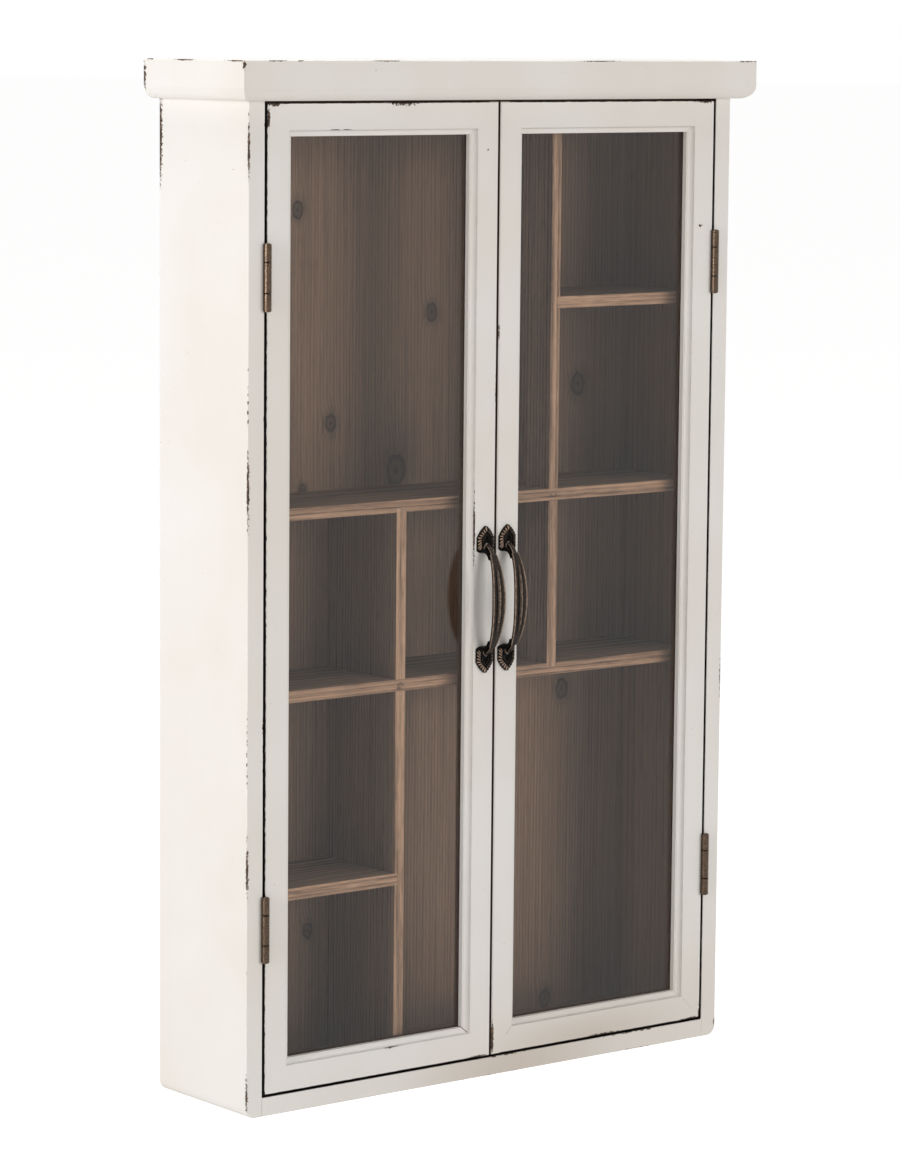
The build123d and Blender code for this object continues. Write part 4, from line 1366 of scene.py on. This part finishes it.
@dataclass
class Studio:
    """Pale floor, soft lamps and the camera.

    The lamps are a key square to the left side, a fill from the right of the front, and one
    overhead. Mirrored is the even strength that gloss meets. Focal and frame_height are in pixels,
    sensor in millimetres, and the angles in degrees.
    """

    ambient: float = 0.19
    mirrored: float = 0.9
    floor_half: float = 80.0
    floor_bounce: float = 0.33
    floor_glow: float = 0.9
    floor_tones: tuple[float, float] = (0.43, 0.47)
    sky: Triple = (1.0, 0.975, 0.955)
    warmth: Triple = (1.0, 0.925, 0.85)
    lamps: tuple[SoftBox, ...] = (
        SoftBox("key", (-2.6, -0.12, 0.75), (-0.2, 0.0, 0.42), (1.2, 1.6), 45.0, True),
        SoftBox("fill", (2.3, -6.1, 1.2), (0.0, 0.0, 0.4), (3.4, 3.4), 220.0, False),
        SoftBox("overhead", (-0.2, 0.1, 2.6), (-0.1, 0.0, 0.0), (1.6, 1.4), 38.0, True),
    )
    place: Triple = (-2.09605, FRONT - 2.60267, 0.83053)
    yaw: float = 38.2394
    pitch: float = -7.5122
    roll: float = 0.5046
    focal: float = 4307.13
    frame_height: float = 1176.0
    sensor: float = 36.0

    def build(self) -> None:
        """Set up the whole studio."""
        self.world()
        self.floor()
        for lamp in self.lamps:
            lamp.build()
        self.camera()
        bpy.context.scene.view_settings.view_transform = "Standard"

    def world(self) -> None:
        """Even light all round; white to the eye and through glass, and a little less to gloss."""
        made = bpy.data.worlds.new("studio")
        made.use_nodes = True
        made.node_tree.nodes.clear()
        g = Graph(made.node_tree)
        path = g.named("LightPath")
        eye, gloss = path["Is Camera Ray"], path["Is Glossy Ray"]
        seen = g.largest(eye, gloss, path["Is Transmission Ray"])
        bright = g.ramp(gloss, 0.0, 1.0, 1.0, self.mirrored)
        strength = g.ramp(seen, 0.0, 1.0, self.ambient, bright)
        light = {"Strength": strength, "Color": g.mix(seen, self.sky, ONES)}
        g.end(g.shader(light, "Background"), "OutputWorld")
        bpy.context.scene.world = made

    def floor(self) -> None:
        """A wide plane under the cabinet, with a faint tooth and a glow of its own for the eye."""
        line = np.array([-self.floor_half, self.floor_half])
        x, y = np.meshgrid(line, line, indexing="ij")
        piece = build_mesh("floor", [np.stack([x, y, np.zeros_like(x)], axis=-1)], False)
        made, g = new_material("studio_floor")
        dark, pale = ((tone, tone, tone) for tone in self.floor_tones)
        tooth = g.mix(g.noise(g.place(), 40.0, 3.0), dark, pale)
        matt = g.shader({"Base Color": tooth, "Roughness": 1.0, "Specular IOR Level": 0.0})
        path = g.named("LightPath")
        seen = g.largest(path["Is Camera Ray"], path["Is Transmission Ray"])
        strength = g.ramp(seen, 0.0, 1.0, self.floor_bounce, self.floor_glow)
        light = {"Strength": strength, "Color": g.mix(seen, self.warmth, ONES)}
        both = g.node("AddShader", {0: matt, 1: g.shader(light, "Emission")})[0]
        even = g.shader({"Strength": self.mirrored}, "Emission")
        g.end(g.blend(path["Is Glossy Ray"], both, even))
        piece.data.materials.append(made)

    def camera(self) -> None:
        """The photograph's viewpoint: yaw, then pitch, then roll about the line of sight."""
        yaw, pitch, roll = radians(self.yaw), radians(self.pitch), radians(self.roll)
        ahead = Vector((sin(yaw) * cos(pitch), cos(yaw) * cos(pitch), sin(pitch)))
        level = Vector((cos(yaw), -sin(yaw), 0.0))
        above = level.cross(ahead)
        right = cos(roll) * level + sin(roll) * above
        up = -sin(roll) * level + cos(roll) * above
        lens = bpy.data.cameras.new("camera")
        lens.sensor_width = self.sensor
        lens.lens = self.focal / self.frame_height * self.sensor
        lens.clip_start, lens.clip_end = 0.05, 60.0
        eye = bpy.data.objects.new("camera", lens)
        bpy.context.scene.collection.objects.link(eye)
        turn = Matrix((right, up, -ahead)).transposed().to_4x4()
        eye.matrix_world = Matrix.Translation(self.place) @ turn
        bpy.context.scene.camera = eye


BACK_KNOTS = (
    Spot(-111.5, 112, 683, 4.5),
    Spot(21.6, 112, 599, 4.8),
    Spot(-78.5, 112, 515, 4.6),
    Spot(-13.6, 112, 474, 8.0),
    Spot(-105.6, 112, 464, 3.0),
    Spot(-98.8, 112, 110, 4.0),
    Spot(174.7, 112, 534.5, 6.0),
    Spot(161.5, 112, 282, 5.5),
    Spot(147, 112, 22, 5.0),
    Spot(-9, 112, 30, 3.0),
)
# Dark patches on the back board: the first darkens the strip beside the right side panel and the
# third its bottom, both painted shade; the second is a dark smear above a knot, and the last two
# are darker patches near the middle.
BACK_STAINS_AND_SHADE = (
    (Spot(200, 112, 420, 50, 60, 500), 0.2),
    (Spot(-8, 112, 494, 22, 60, 26), 0.4),
    (Spot(30, 112, 0, 200, 60, 45), 0.35),
    (Spot(14, 112, 370, 20, 60, 60), 0.3),
    (Spot(10, 112, 590, 16, 60, 130), 0.22),
)
SIDE_CHIPS = {
    Side.LEFT: (
        Spot(-238, 0, 734, 1.3, 1.1, 17),
        Spot(-238, 0, 480, 1.5, 1.2, 24),
        Spot(-238, 0, 194, 1.4, 1.1, 19),
        Spot(-238, 0, 19, 1.3, 1.1, 12),
        Spot(-238, 116, 743, 2.0, 3.2, 33),
    ),
    Side.RIGHT: (Spot(238, 0, 300, 1.2, 1.2, 14), Spot(238, 0, 10, 1.6, 1.2, 4)),
}
CORNICE_CHIPS = {
    "cornice_front": (
        Spot(-252.5, -14.5, 797, 1.5, 1.6, 3.6),
        Spot(-222, -14.5, 800, 9, 1.2, 0.8),
        Spot(-200, -14.5, 800, 3, 1.2, 0.7),
        Spot(-120, -14.5, 800, 14, 1.2, 0.7),
        Spot(88, -14.5, 800, 20, 1.2, 0.7),
        Spot(243, -14.5, 800, 10, 1.2, 0.9),
    ),
    "cornice_left": (
        Spot(-252.5, -14.5, 797, 1.5, 1.6, 3.6),
        Spot(-252.5, 116, 786, 1.6, 3.0, 9),
        Spot(-252.5, 107, 800, 1.1, 4, 0.8),
        Spot(-252.5, 62, 800, 1.4, 12, 1.1),
        Spot(-252.5, -4, 800, 1.3, 10, 0.9),
    ),
    "cornice_right": (),
    "cap_board": (),
}
# Soft patches of painted shade on the doors.
DOOR_SHADE_PATCH = {Side.LEFT: None, Side.RIGHT: Spot(100, 0, 16, 85, 60, 22)}
DOOR_CHIPS = {
    Side.LEFT: (
        Spot(-214, 0, 768.0, 6.5, 1.2, 1.9),
        Spot(-219.6, 0, 757, 1.3, 1.2, 6),
        Spot(-93, 0, 768.0, 12, 1.2, 1.9),
        Spot(-158, 0.6, 748.1, 5, 1.2, 0.6),
        Spot(-147, 0.6, 748.1, 4, 1.2, 0.6),
        Spot(-1.0, 0, 545, 0.9, 1.0, 12),
        Spot(-21.3, 0.5, 436, 0.55, 1.2, 24),
        Spot(-14, 0, 16.6, 10, 1.2, 1.3),
        Spot(-99, 0.6, 36.8, 6, 1.2, 0.7),
        Spot(-11.4, 0, 731.6, 0.8),
    ),
    Side.RIGHT: (
        Spot(211, 0, 768.0, 9, 1.2, 1.5),
        Spot(207.8, 0, 668.5, 2.2, 1.2, 0.9),
        Spot(196.3, 0, 602.8, 0.8),
        Spot(1.0, 0, 590, 0.9, 1.0, 9),
        Spot(1.4, 0, 30, 1.3, 1.0, 15),
        Spot(118, 0, 16.6, 14, 1.2, 1.3),
        Spot(209, 0, 16.6, 9, 1.2, 1.3),
        Spot(220.4, 0, 20, 1.1, 1.2, 6),
    ),
}


def main() -> None:
    """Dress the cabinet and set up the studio."""
    logging.basicConfig(level=logging.INFO, format="%(name)s %(message)s")
    for group in (Carcass(), Shelving(), Door(Side.LEFT), Door(Side.RIGHT), Fixings(), Studio()):
        group.build()


if __name__ == "__main__":
    main()
